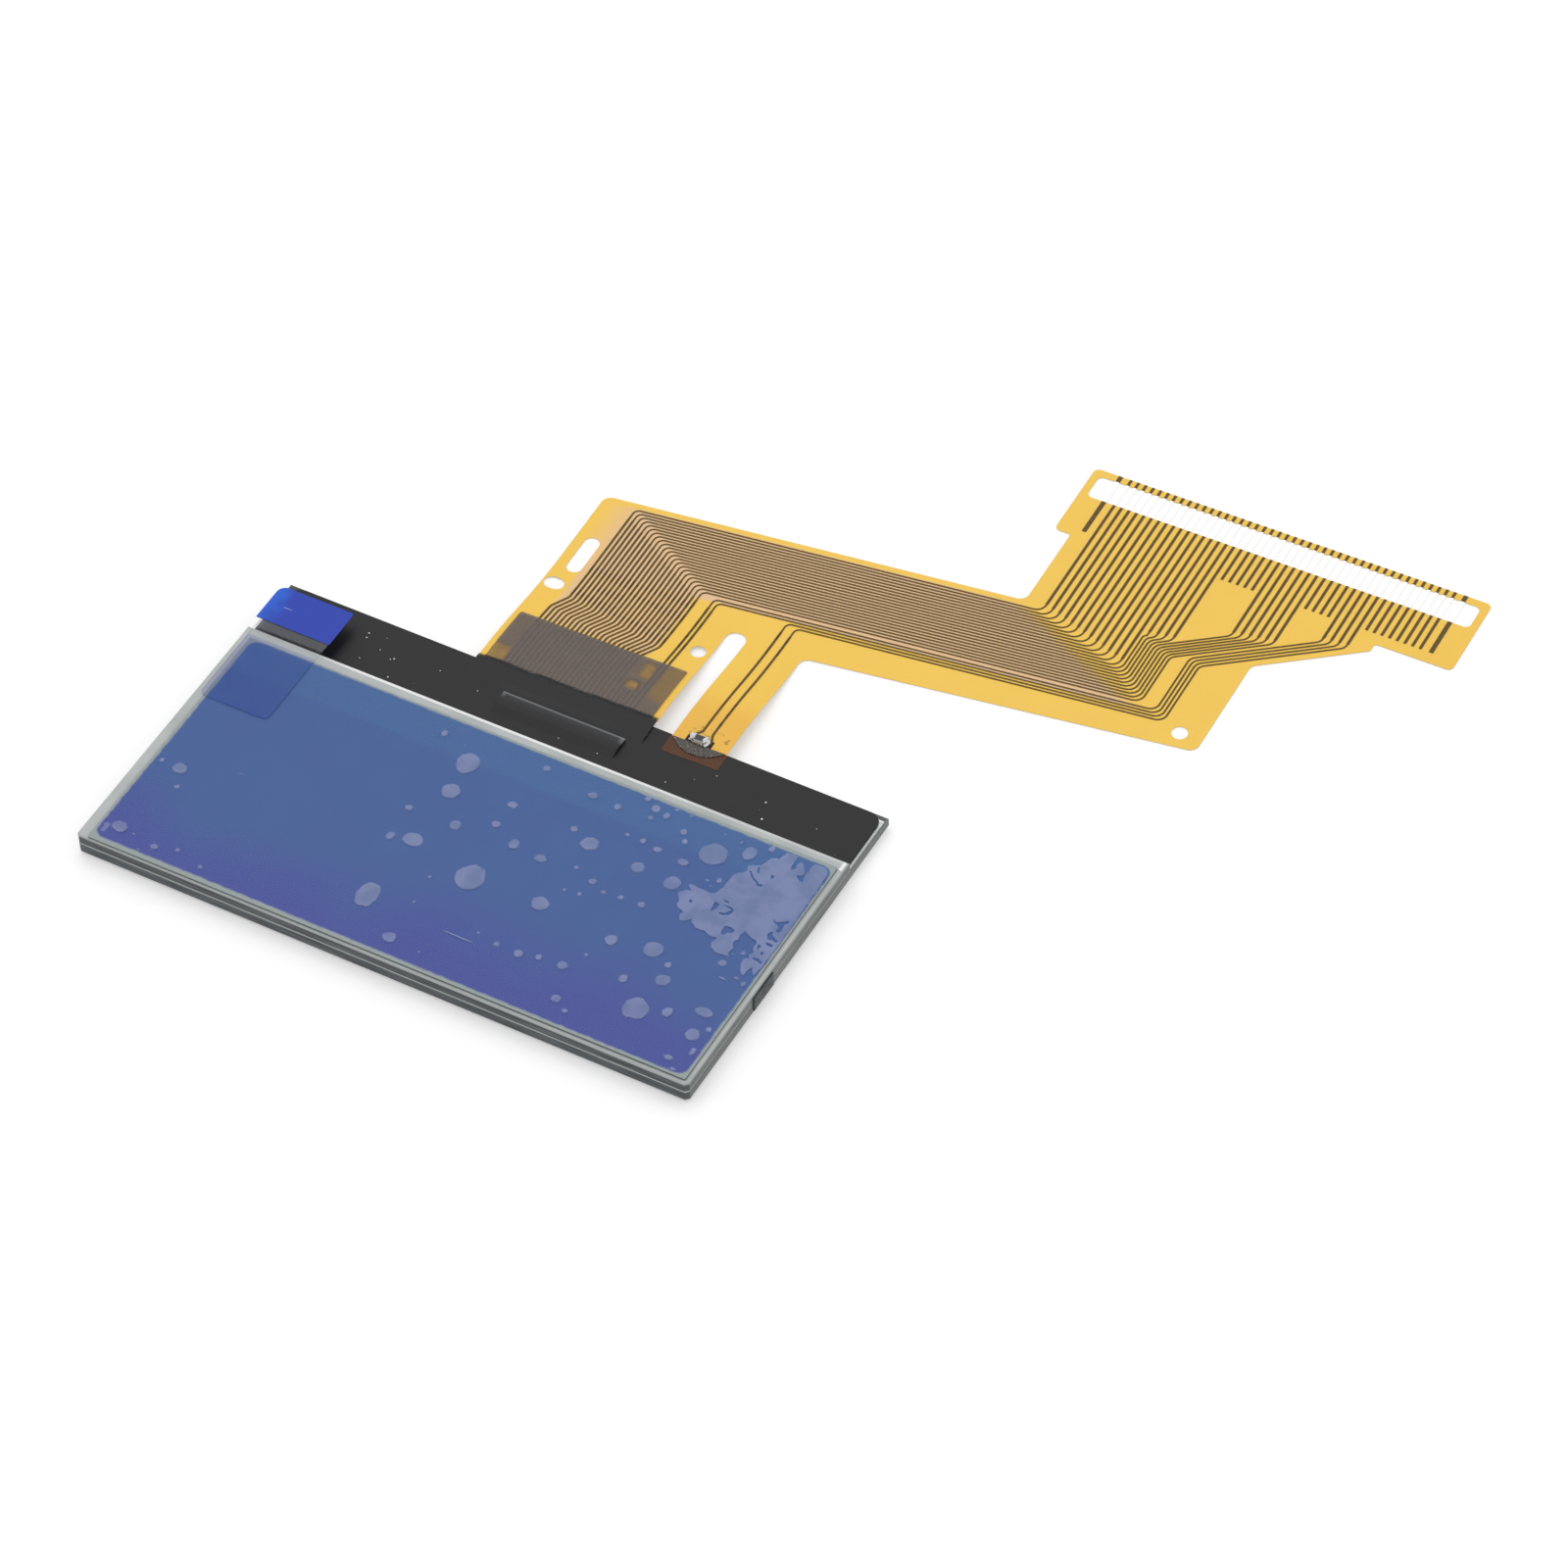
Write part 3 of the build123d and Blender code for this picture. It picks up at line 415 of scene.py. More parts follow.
def drawn_film(name, colour, cloud, edge, alpha=1.0, gloss=0.5, roughness=0.3):
    material, tree, shader, place = start(name)
    tone = mottled(tree, place, FILM_CLOUD, 3.0, colour, cloud)[1]
    stretch = (1 / DRAWING_LENGTH, 1 / DRAWING_GAP, 1.0)
    lines = put(tree, "VectorMath", {0: place, 1: stretch}, operation="MULTIPLY")
    lines = put(tree, "TexNoise", {"Vector": lines, "Scale": 1.0, "Detail": 2.0})
    side = upright(tree)
    tone = put(tree, "Mix", {"Factor": side, "A": tone, "B": linear(edge)}, data_type="RGBA")
    bump = put(tree, "Bump", {"Height": lines, "Distance": DRAWING_RELIEF * MM, "Strength": 0.5})
    fill(tree, shader, {
        "Base Color": tone, "Roughness": roughness, "IOR": 1.57, "Alpha": alpha,
        "Specular IOR Level": gloss, "Normal": bump,
    })
    return material


dress("rear_polarizer", drawn_film(
    "laminated_reflecting_polarizer", "8F9692", "858C88", "4A4F4D", roughness=0.35))
dress("protective_film", drawn_film(
    "clear_polyester_film", "3A5590", "355092", "8A96A0", alpha=0.02, roughness=0.12))
# The flex's base film is darker on its cut sides: the cut edge, partly painted shade.
dress("flex_base_film", drawn_film(
    "cast_polyimide_film", "F4CA4C", "EFC244", "6A4A1A", alpha=0.06, roughness=0.28, gloss=0.35))
dress("sensor_tape", drawn_film(
    "brown_polyimide_tape", "5E3C28", "4A2F20", "7A4A30", roughness=0.4, gloss=0.12))


# Where tracks lie close together the film between them looks greyer. The arm's strip rises along u
# and ends along the slanted line of the bends; the left group runs along v.
ARM_RISE = tan(radians(7.1))
ARM_TRACKS = (-7.6, 46.0, 17.2, 26.3)
ARM_FADE = 3.5
ARM_SIDE_FADE = 0.3
BEND_LEAN = 2.09
BEND_REACH = 95.5
BEND_FADE = 3.0
LEFT_TRACKS = (-9.0, 2.3, 8.2, 18.0)
LEFT_FADE = 0.4
LEFT_SHARE = 0.8
TRACKS_ROUND = 0.5


def close_tracks(tree, on_flex):
    """how much a place on the flex lies among close tracks, from nothing to one"""
    split = put(tree, "SeparateXYZ", {0: on_flex})
    u, v = split.outputs["X"], split.outputs["Y"]
    fall = put(tree, "Math", {0: u, 1: -ARM_RISE, 2: v}, operation="MULTIPLY_ADD")
    bends = put(tree, "Math", {0: v, 1: BEND_LEAN, 2: u}, operation="MULTIPLY_ADD")
    strip = put(tree, "CombineXYZ", {"X": u, "Y": fall})
    near, far = ARM_TRACKS[2:]
    arm = zone(tree, strip, ARM_TRACKS, TRACKS_ROUND, (0.0, ARM_FADE), course="LINEAR")
    for value, first, last, ahead, behind in (
            (fall, far, far + ARM_SIDE_FADE, 1.0, 0.0),
            (fall, near - ARM_SIDE_FADE, near, 0.0, 1.0),
            (bends, BEND_REACH - BEND_FADE, BEND_REACH, 1.0, 0.0)):
        share = put(tree, "MapRange", {
            "Value": value, "From Min": first, "From Max": last, "To Min": ahead, "To Max": behind,
        })
        arm = put(tree, "Math", {0: arm, 1: share}, operation="MULTIPLY")
    left = zone(
        tree, on_flex, LEFT_TRACKS, TRACKS_ROUND, (0.0, LEFT_FADE), (LEFT_SHARE, 0.0), "LINEAR")
    return put(tree, "Math", {0: arm, 1: left}, operation="MAXIMUM")


# Polyimide coverlay, pressed over the copper: amber, deeper on the tail that was soldered by hand,
# with a few scorched flux spots there.
COVERLAY_CLOUD = 6.0
COVERLAY_RELIEF = 0.004
TAIL_WARMED = (*TAIL_ENDS, -2.0, 3.0)
TAIL_ROUND = 0.5
TAIL_REACH = (0.0, 4.5)
TAIL_SHARE = 0.7
FLUX_PLACE = (*TAIL_ENDS, 0.4, 1.8)
FLUX_ROUND = 0.1
FLUX_REACH = (0.0, 0.3)
FLUX_SHARE = 0.6
FLUX_SPOT = 0.5
FLUX_SPREAD = (0.6, 0.68)


def pressed_coverlay():
    material, tree, shader, place = start("pressed_polyimide_coverlay")
    on_flex = flex_place(tree, place)
    mottle, amber = mottled(tree, place, COVERLAY_CLOUD, 3.0, "F6CE50", "F2C648")
    deep = zone(tree, on_flex, TAIL_WARMED, TAIL_ROUND, TAIL_REACH, (TAIL_SHARE, 0.0))
    spots = put(tree, "TexNoise", {"Vector": place, "Scale": 1 / FLUX_SPOT, "Detail": 3.0})
    first, last = FLUX_SPREAD
    spots = put(tree, "MapRange", {"Value": spots, "From Min": first, "From Max": last})
    near = zone(tree, on_flex, FLUX_PLACE, FLUX_ROUND, FLUX_REACH, (FLUX_SHARE, 0.0), "LINEAR")
    scorch = put(tree, "Math", {0: spots, 1: near}, operation="MULTIPLY")
    # The cut sides are darker: the cut edge, partly painted shade.
    for share, code in (
            (close_tracks(tree, on_flex), "E4C09C"), (deep, "E8AE34"), (scorch, "6B4214"),
            (upright(tree), "6A4A1A")):
        amber = put(tree, "Mix", {"Factor": share, "A": amber, "B": linear(code)}, data_type="RGBA")
    bump = put(tree, "Bump", {"Height": mottle, "Distance": COVERLAY_RELIEF * MM, "Strength": 0.4})
    fill(tree, shader, {
        "Base Color": amber, "Roughness": 0.4, "IOR": 1.7, "Specular IOR Level": 0.3,
        "Alpha": 0.97, "Normal": bump,
    })
    return material


dress("flex_coverlay", pressed_coverlay())


# Black polyester tape over the bond, thin enough for the tracks to show faintly, with brown places
# where its adhesive has wetted the flex: the ends of each, and how much clearer it is.
TAPE_CLOUD = 1.6
TAPE_RELIEF = 0.01
TAPE_COVER = (0.48, 0.58)
WETTED_PLACES = [
    (-11.2, -9.4, 0.4, 2.9, 0.22), (5.0, 7.2, 2.4, 7.6, 0.12), (3.1, 4.2, 4.9, 6.9, 0.2),
    (2.5, 3.8, 3.2, 4.3, 0.3),
]
WETTED_ROUND = 0.3
WETTED_RAGGED = 1.2
WETTED_REACH = (0.2, 0.9)
BROWN_FROM = 0.15


def bond_tape():
    material, tree, shader, place = start("thin_black_polyester_tape")
    on_flex = flex_place(tree, place)
    cloud, tone = mottled(tree, place, TAPE_CLOUD, 4.0, "675E5C", "716765")
    thin, thick = TAPE_COVER
    alpha = put(tree, "MapRange", {"Value": cloud, "To Min": thin, "To Max": thick})
    wet = 0.0
    for *edges, clear in WETTED_PLACES:
        wetted = zone(tree, on_flex, edges, WETTED_ROUND, WETTED_REACH, (clear, 0.0),
                      waves=(cloud, WETTED_RAGGED))
        alpha = put(tree, "Math", {0: alpha, 1: wetted}, operation="SUBTRACT")
        wet = put(tree, "Math", {0: wet, 1: wetted}, operation="ADD")
    brown = put(tree, "MapRange", {"Value": wet, "From Min": 0.0, "From Max": BROWN_FROM})
    for share, code in ((brown, "82684F"), (upright(tree), "3A342F")):
        tone = put(tree, "Mix", {"Factor": share, "A": tone, "B": linear(code)}, data_type="RGBA")
    bump = put(tree, "Bump", {"Height": cloud, "Distance": TAPE_RELIEF * MM, "Strength": 0.4})
    fill(tree, shader, {
        "Base Color": tone, "Roughness": 0.5, "Specular IOR Level": 0.4, "Alpha": alpha,
        "Normal": bump,
    })
    return material


dress("bond_cover_tape", bond_tape())


# Clear polyester tape of the pull tab: a deeper blue where it lies on the display, milky where it
# bridges the ledge, and a dark line along its cut edges.
TAB_CLOUD = 3.0
TAB_RELIEF = 0.01
OFF_POLARIZER = (FACE_HIGH.y - 0.05, FACE_HIGH.y + 0.05)
OFF_GLASS = (GLASS_HIGH.y - 0.1, GLASS_HIGH.y + 0.1)
COVER_ON_FACE = 0.14
COVER_ON_MARGIN = 0.04
COVER_MORE_OVER_LEDGE = 0.12
COVER_MORE_AT_EDGE = 0.6


def tab_film():
    material, tree, shader, place = start("clear_pull_tab_tape")
    y = put(tree, "SeparateXYZ", {0: place}).outputs["Y"]
    first, last = OFF_POLARIZER
    beyond = put(tree, "MapRange", {"Value": y, "From Min": first, "From Max": last})
    first, last = OFF_GLASS
    bridge = put(tree, "MapRange", {"Value": y, "From Min": first, "From Max": last})
    side = upright(tree)
    mottle, tone = mottled(tree, place, TAB_CLOUD, 3.0, "1C46B4", "234DBC")
    for share, code in ((beyond, "999BA2"), (side, "1E2C5E")):
        tone = put(tree, "Mix", {"Factor": share, "A": tone, "B": linear(code)}, data_type="RGBA")
    alpha = put(tree, "MapRange", {
        "Value": beyond, "To Min": COVER_ON_FACE, "To Max": COVER_ON_MARGIN,
    })
    for share, more in ((bridge, COVER_MORE_OVER_LEDGE), (side, COVER_MORE_AT_EDGE)):
        alpha = put(tree, "Math", {0: share, 1: more, 2: alpha}, operation="MULTIPLY_ADD")
    bump = put(tree, "Bump", {"Height": mottle, "Distance": TAB_RELIEF * MM, "Strength": 0.3})
    fill(tree, shader, {
        "Base Color": tone, "Roughness": 0.25, "Specular IOR Level": 0.3, "Alpha": alpha,
        "Normal": bump,
    })
    return material


dress("tab_tape", tab_film())


# Printed blue tape of the grip: a strong even blue with a painted highlight towards its outer end, and
# one scuff.
GRIP_CLOUD = 2.5
GRIP_RELIEF = 0.02
HIGHLIGHT_WAVE = 3.0
HIGHLIGHT_END = (TAB_LOW.x + 0.9, TAB_LOW.x + 3.2)
SCUFF = (-30.7, -29.9, 14.66, 14.72)
SCUFF_RAGGED = 0.3
SCUFF_REACH = (0.13, 0.22)
SCUFF_SHARE = 0.35


def grip_tape():
    material, tree, shader, place = start("printed_blue_grip_tape")
    x = put(tree, "SeparateXYZ", {0: place}).outputs["X"]
    mottle = put(tree, "TexNoise", {"Vector": place, "Scale": 1 / GRIP_CLOUD, "Detail": 3.0})
    # The painted highlight at the outer end, with a wavy inner edge.
    wave = put(tree, "Math", {0: mottle, 1: HIGHLIGHT_WAVE, 2: x}, operation="MULTIPLY_ADD")
    first, last = HIGHLIGHT_END
    inward = put(tree, "MapRange", {
        "Value": wave, "From Min": first, "From Max": last,
    }, interpolation_type="SMOOTHSTEP")
    scuff = zone(tree, place, SCUFF, 0.0, SCUFF_REACH, (SCUFF_SHARE, 0.0), "LINEAR",
                 (mottle, SCUFF_RAGGED))
    blue = linear("0658CC")
    # Past the painted highlight the grip deepens to its even blue.
    for share, code in ((inward, "0C33A6"), (scuff, "B4BEE6"), (upright(tree), "101A60")):
        blue = put(tree, "Mix", {"Factor": share, "A": blue, "B": linear(code)}, data_type="RGBA")
    bump = put(tree, "Bump", {"Height": mottle, "Distance": GRIP_RELIEF * MM, "Strength": 0.3})
    fill(tree, shader, {
        "Base Color": blue, "Roughness": 0.35, "Specular IOR Level": 0.3, "Normal": bump,
    })
    return material


dress("tab_grip", grip_tape())


# Black silicone, brushed thinly on the ledge: dark and soft, thinning out along its edges so that
# the glass shows through, with fine dust set in it. Painted highlights lie along the chip's far edge
# and ends, painted light on the slopes that face the front and a painted navy shadow beside the pull
# tab. The dust is drawn coarser than it is.
COAT_CLOUD = 2.0
COAT_RELIEF = 0.01
ON_HUMP = (LEDGE_HIGH.z + 0.1, LEDGE_HIGH.z + 0.3)
# Painted light on the slopes that face the front: the facings over which it fades, and its share.
LIT_SLOPE_FACING = (-0.8, -0.1)
SLOPE_LIGHT_SHARE = 0.16
DUST_GAP = 0.9
DUST_SIZE = (0.03, 0.06)
DUST_FEW = (0.82, 0.95)
# Painted highlights over the chip: a wide glow and a fine line along its far edge, and a short line
# at each end. Each has its ends, its fade, its share and its tone.
CHIP_REAR = CHIP_HIGH.y + 0.1
CHIP_HIGHLIGHTS = [
    (CHIP_LOW.x, CHIP_HIGH.x, CHIP_REAR, CHIP_REAR + 0.1, 1.3, 0.3, "4A4C50"),
    (CHIP_LOW.x, CHIP_HIGH.x, CHIP_REAR - 0.02, CHIP_REAR + 0.05, 0.28, 0.6, "8E8F93"),
    (CHIP_LOW.x - 0.1, CHIP_LOW.x, CHIP_REAR - 0.3, CHIP_REAR, 0.5, 0.25, "8E8F93"),
    (CHIP_HIGH.x, CHIP_HIGH.x + 0.1, CHIP_REAR - 0.4, CHIP_REAR, 0.6, 0.35, "8E8F93"),
]
# A painted navy shadow beside the pull tab.
TAB_SHADOW = (TAB_HIGH.x, TAB_HIGH.x + 0.35, GLASS_HIGH.y, TAB_HIGH.y)
TAB_SHADOW_ROUND = 0.1
TAB_SHADOW_REACH = (0.0, 0.2)
# How far the coating reaches over the ledge, and in a thin ragged lap over the end of the flex.
COAT_BED = (COAT_LOW.x - 0.6, COAT_HIGH.x, GLASS_HIGH.y - 1.0, LEDGE_HIGH.y)
COAT_BED_ROUND = 0.8
COAT_BED_RAGGED = 0.2
COAT_BED_REACH = (-0.1, 0.2)
FLEX_LAP = (-11.85, 9.0, -3.0, 0.3)
FLEX_LAP_ROUND = 0.1
FLEX_LAP_RAGGED = 0.6
FLEX_LAP_REACH = (0.2, 0.95)


def coat_marks(tree, place):
    """what lies on the coating's black, painted highlights, light and shadow and the dust: the share and
    the tone of each mark
    """
    z = put(tree, "SeparateXYZ", {0: place}).outputs["Z"]
    first, last = ON_HUMP
    raised = put(tree, "MapRange", {"Value": z, "From Min": first, "From Max": last})
    marks = []
    # Painted highlights along the chip's far edge and ends, on the raised coat only.
    for *edges, fade, most, tone in CHIP_HIGHLIGHTS:
        chip_highlight = zone(tree, place, edges, 0.0, (0.0, fade), (most, 0.0))
        marks.append((put(tree, "Math", {0: chip_highlight, 1: raised}, operation="MULTIPLY"), tone))
    # The painted navy shadow beside the pull tab.
    marks.append((zone(tree, place, TAB_SHADOW, TAB_SHADOW_ROUND, TAB_SHADOW_REACH, course="LINEAR"), "030316"))
    # Painted light on the slopes that face the front.
    normal = put(tree, "NewGeometry", {}).outputs["Normal"]
    facing = put(tree, "SeparateXYZ", {0: normal}).outputs["Y"]
    first, last = LIT_SLOPE_FACING
    marks.append((put(tree, "MapRange", {
        "Value": facing, "From Min": first, "From Max": last, "To Min": SLOPE_LIGHT_SHARE, "To Max": 0.0,
    }), "606266"))
    dust = put(tree, "TexVoronoi", {"Vector": place, "Scale": 1 / DUST_GAP})
    first, last = DUST_SIZE
    grain = put(tree, "MapRange", {
        "Value": dust.outputs["Distance"], "From Min": first, "From Max": last, "To Min": 1.0,
        "To Max": 0.0,
    })
    odd = put(tree, "SeparateColor", {0: dust.outputs["Color"]})
    first, last = DUST_FEW
    few = put(tree, "MapRange", {"Value": odd, "From Min": first, "From Max": last})
    marks.append((put(tree, "Math", {0: grain, 1: few}, operation="MULTIPLY"), "B4B4B4"))
    return marks


def brushed_coating():
    material, tree, shader, place = start("brushed_black_silicone")
    cloud, black = mottled(tree, place, COAT_CLOUD, 4.0, "0D0D0F", "141416")
    for share, code in coat_marks(tree, place):
        black = put(tree, "Mix", {"Factor": share, "A": black, "B": linear(code)}, data_type="RGBA")
    bed = zone(
        tree, place, COAT_BED, COAT_BED_ROUND, COAT_BED_REACH, waves=(cloud, COAT_BED_RAGGED))
    lap = zone(tree, flex_place(tree, place), FLEX_LAP, FLEX_LAP_ROUND, FLEX_LAP_REACH,
               waves=(cloud, FLEX_LAP_RAGGED))
    alpha = put(tree, "Math", {0: bed, 1: lap}, operation="MAXIMUM")
    bump = put(tree, "Bump", {"Height": cloud, "Distance": COAT_RELIEF * MM, "Strength": 0.5})
    fill(tree, shader, {
        "Base Color": black, "Roughness": 0.5, "Specular IOR Level": 0.3, "Alpha": alpha,
        "Normal": bump,
    })
    return material


dress("ledge_coating", brushed_coating())


# Cured resins, pastes and inks: one colour with grains of another, and the fine relief of a drop or
# a print that has dried. Their real grains are finer than these.
DROP_RELIEF = 0.004
PASTE_RELIEF = 0.01
RESIN_RELIEF = 0.02
GRAIN_SPREAD = (0.35, 0.65)


def cured_drop(name, colour, grains, grain_mm, roughness, relief_mm=DROP_RELIEF, gloss=0.5):
    material, tree, shader, place = start(name)
    grit, tone = mottled(tree, place, grain_mm, 4.0, colour, grains, GRAIN_SPREAD)
    bump = put(tree, "Bump", {"Height": grit, "Distance": relief_mm * MM, "Strength": 0.7})
    fill(tree, shader, {
        "Base Color": tone, "Roughness": roughness, "Specular IOR Level": gloss, "Normal": bump,
    })
    return material


dress("perimeter_seal", cured_drop("printed_epoxy_seal", "C6C9C4", "BABDB8", 0.5, 0.6))
dress("liquid_crystal", cured_drop("liquid_crystal_fill", "56628C", "4C5880", 3.0, 0.3))
dress("fill_port_plug", cured_drop(
    "cured_port_resin", "202325", "4A4E50", 0.9, 0.4, RESIN_RELIEF, gloss=0.3))
dress("corner_silver_dab", cured_drop(
    "dried_silver_paste", "F6F6F6", "D6D7D8", 0.16, 0.5, PASTE_RELIEF))
bond_film = cured_drop("pressed_anisotropic_film", "8A8070", "776E60", 0.3, 0.6)
dress("chip_bond_film", bond_film)
dress("flex_bond_film", bond_film)
dress("resistor_body", cured_drop("fired_alumina", "DAD7CE", "C9C6BC", 0.2, 0.5))
dress("resistor_coat", cured_drop("printed_resistor_glaze", "151517", "222226", 0.2, 0.25, gloss=0.4))
dress("driver_chip", cured_drop("polished_silicon_die", "2B2C30", "222327", 2.0, 0.2))


# Metals, etched, plated or reflowed: tin and solder mirror the room softly, with a grained dull
# bloom, drawn coarser than the real one. Copper seen through the film is a flat brown.
PLATED_RELIEF = 0.004
ETCHED_RELIEF = 0.001
REFLOWED_RELIEF = 0.03


def worked_metal(name, colour, bloom, grain_mm, roughness, relief_mm, metallic=1.0, gloss=0.5):
    material, tree, shader, place = start(name)
    grain, tone = mottled(tree, place, grain_mm, 3.0, colour, bloom)
    low, high = roughness
    rough = put(tree, "MapRange", {"Value": grain, "To Min": low, "To Max": high})
    bump = put(tree, "Bump", {"Height": grain, "Distance": relief_mm * MM, "Strength": 0.6})
    fill(tree, shader, {
        "Base Color": tone, "Metallic": metallic, "Roughness": rough, "Normal": bump,
        "Specular IOR Level": gloss,
    })
    return material


copper = worked_metal(
    "etched_copper_under_film", "2C2124", "372A2C", 0.8, (0.5, 0.6), ETCHED_RELIEF, 0.0, 0.1)
for node in ("signal_tracks", "sensor_tracks", "spare_leads", "bond_dummy_tracks"):
    dress(node, copper)
dress("lead_tinning", worked_metal(
    "hot_dipped_tin", "F2F2EE", "DEDED8", 0.3, (0.3, 0.45), PLATED_RELIEF))
dress("resistor_terminals", worked_metal(
    "plated_terminal_tin", "B8B8B8", "8A8A8A", 0.15, (0.25, 0.4), PLATED_RELIEF))
solder = worked_metal("reflowed_solder", "F0F1F1", "8E9092", 0.2, (0.15, 0.35), REFLOWED_RELIEF)

# Solder of the chip resistor: one uneven lump over each end and its pad. A lump's half widths, its
# height and how far it laps its terminal are in millimetres.
SOLDER_LOW = lows_highs("solder_joints")[0]
TERMINAL_LOW, TERMINAL_HIGH = lows_highs("resistor_terminals")
LUMP_ACROSS = 0.44
LUMP_DEEP = 0.52
LUMP_HIGH = 0.56
LUMP_OVER_TERMINAL = 0.24
LUMP_UNEVEN = 0.45
LUMP_GRAIN = 1.7
LUMP_TURN = 0.02
LUMP_APART = 9


def solder_lumps():
    """two lumps of solder, flat underneath, each with a hand soldered joint's uneven swelling"""
    shape = bmesh.new()
    middle_y = (TERMINAL_LOW.y + TERMINAL_HIGH.y) / 2
    for end, inward in ((TERMINAL_LOW.x, 1), (TERMINAL_HIGH.x, -1)):
        x = end + inward * (LUMP_OVER_TERMINAL - LUMP_ACROSS / 4)
        y = middle_y + inward * LUMP_TURN
        ball = bmesh.ops.create_icosphere(shape, subdivisions=5, radius=1.0)["verts"]
        for vert in ball:
            spot = vert.co * LUMP_GRAIN + Vector((LUMP_APART * x, 0, 0))
            at = vert.co * (1 + LUMP_UNEVEN * noise(spot))
            height = max(0.0, at.z * LUMP_HIGH)
            vert.co = Vector((
                x + at.x * LUMP_ACROSS, y + at.y * LUMP_DEEP, SOLDER_LOW.z + height)) * MM
    return shape


lumps = add_piece("solder_lumps", solder_lumps(), solder, True)
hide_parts("solder_joints")


# Clear glue, cured hard over the brown tape: brown and wet looking, with pale flecks of trapped
# air, palest on its sides. Real bubbles are finer than these.
GLUE_GRIT = 0.16
GLUE_RELIEF = 0.05
FLECK_SPREAD = (0.56, 0.7)


def hard_glue():
    material, tree, shader, place = start("cured_clear_glue")
    grit = put(tree, "TexNoise", {"Vector": place, "Scale": 1 / GLUE_GRIT, "Detail": 4.0})
    first, last = FLECK_SPREAD
    flecks = put(tree, "MapRange", {"Value": grit, "From Min": first, "From Max": last})
    beads = put(tree, "Math", {0: upright(tree), 1: flecks}, operation="MULTIPLY")
    tone = linear("332C26")
    for share, code in ((flecks, "A09A90"), (beads, "C9C3B8")):
        tone = put(tree, "Mix", {"Factor": share, "A": tone, "B": linear(code)}, data_type="RGBA")
    bump = put(tree, "Bump", {"Height": grit, "Distance": GLUE_RELIEF * MM, "Strength": 0.8})
    fill(tree, shader, {
        "Base Color": tone, "Roughness": 0.2, "Alpha": 0.85, "Normal": bump,
    })
    return material


dress("fixing_glue", hard_glue())


# Air under the protective film: flat blisters, scratches and one large place where the film has let
# go. They are paler than the wetted film, hardly stand up and fade at their rims.
AIR_FLOOR = FILM_FACE + 0.002
AIR_RISE = 0.014
AIR_CLEAR = 0.002
AIR_CLOUD = 2.6
AIR_SPREAD = (0.4, 0.6)
AIR_COVER = 0.5


def trapped_air():
    material, tree, shader, place = start("clear_film_over_trapped_air")
    z = put(tree, "SeparateXYZ", {0: place}).outputs["Z"]
    tone = mottled(tree, place, AIR_CLOUD, 3.0, "8A99C4", "9EA9D4", AIR_SPREAD)[1]
    alpha = put(tree, "MapRange", {
        "Value": z, "From Min": AIR_FLOOR + AIR_CLEAR, "From Max": AIR_FLOOR + AIR_RISE,
        "To Min": 0.0, "To Max": AIR_COVER,
    })
    fill(tree, shader, {
        "Base Color": tone, "Roughness": 0.35, "Specular IOR Level": 0.25, "Alpha": alpha,
    })
    return material


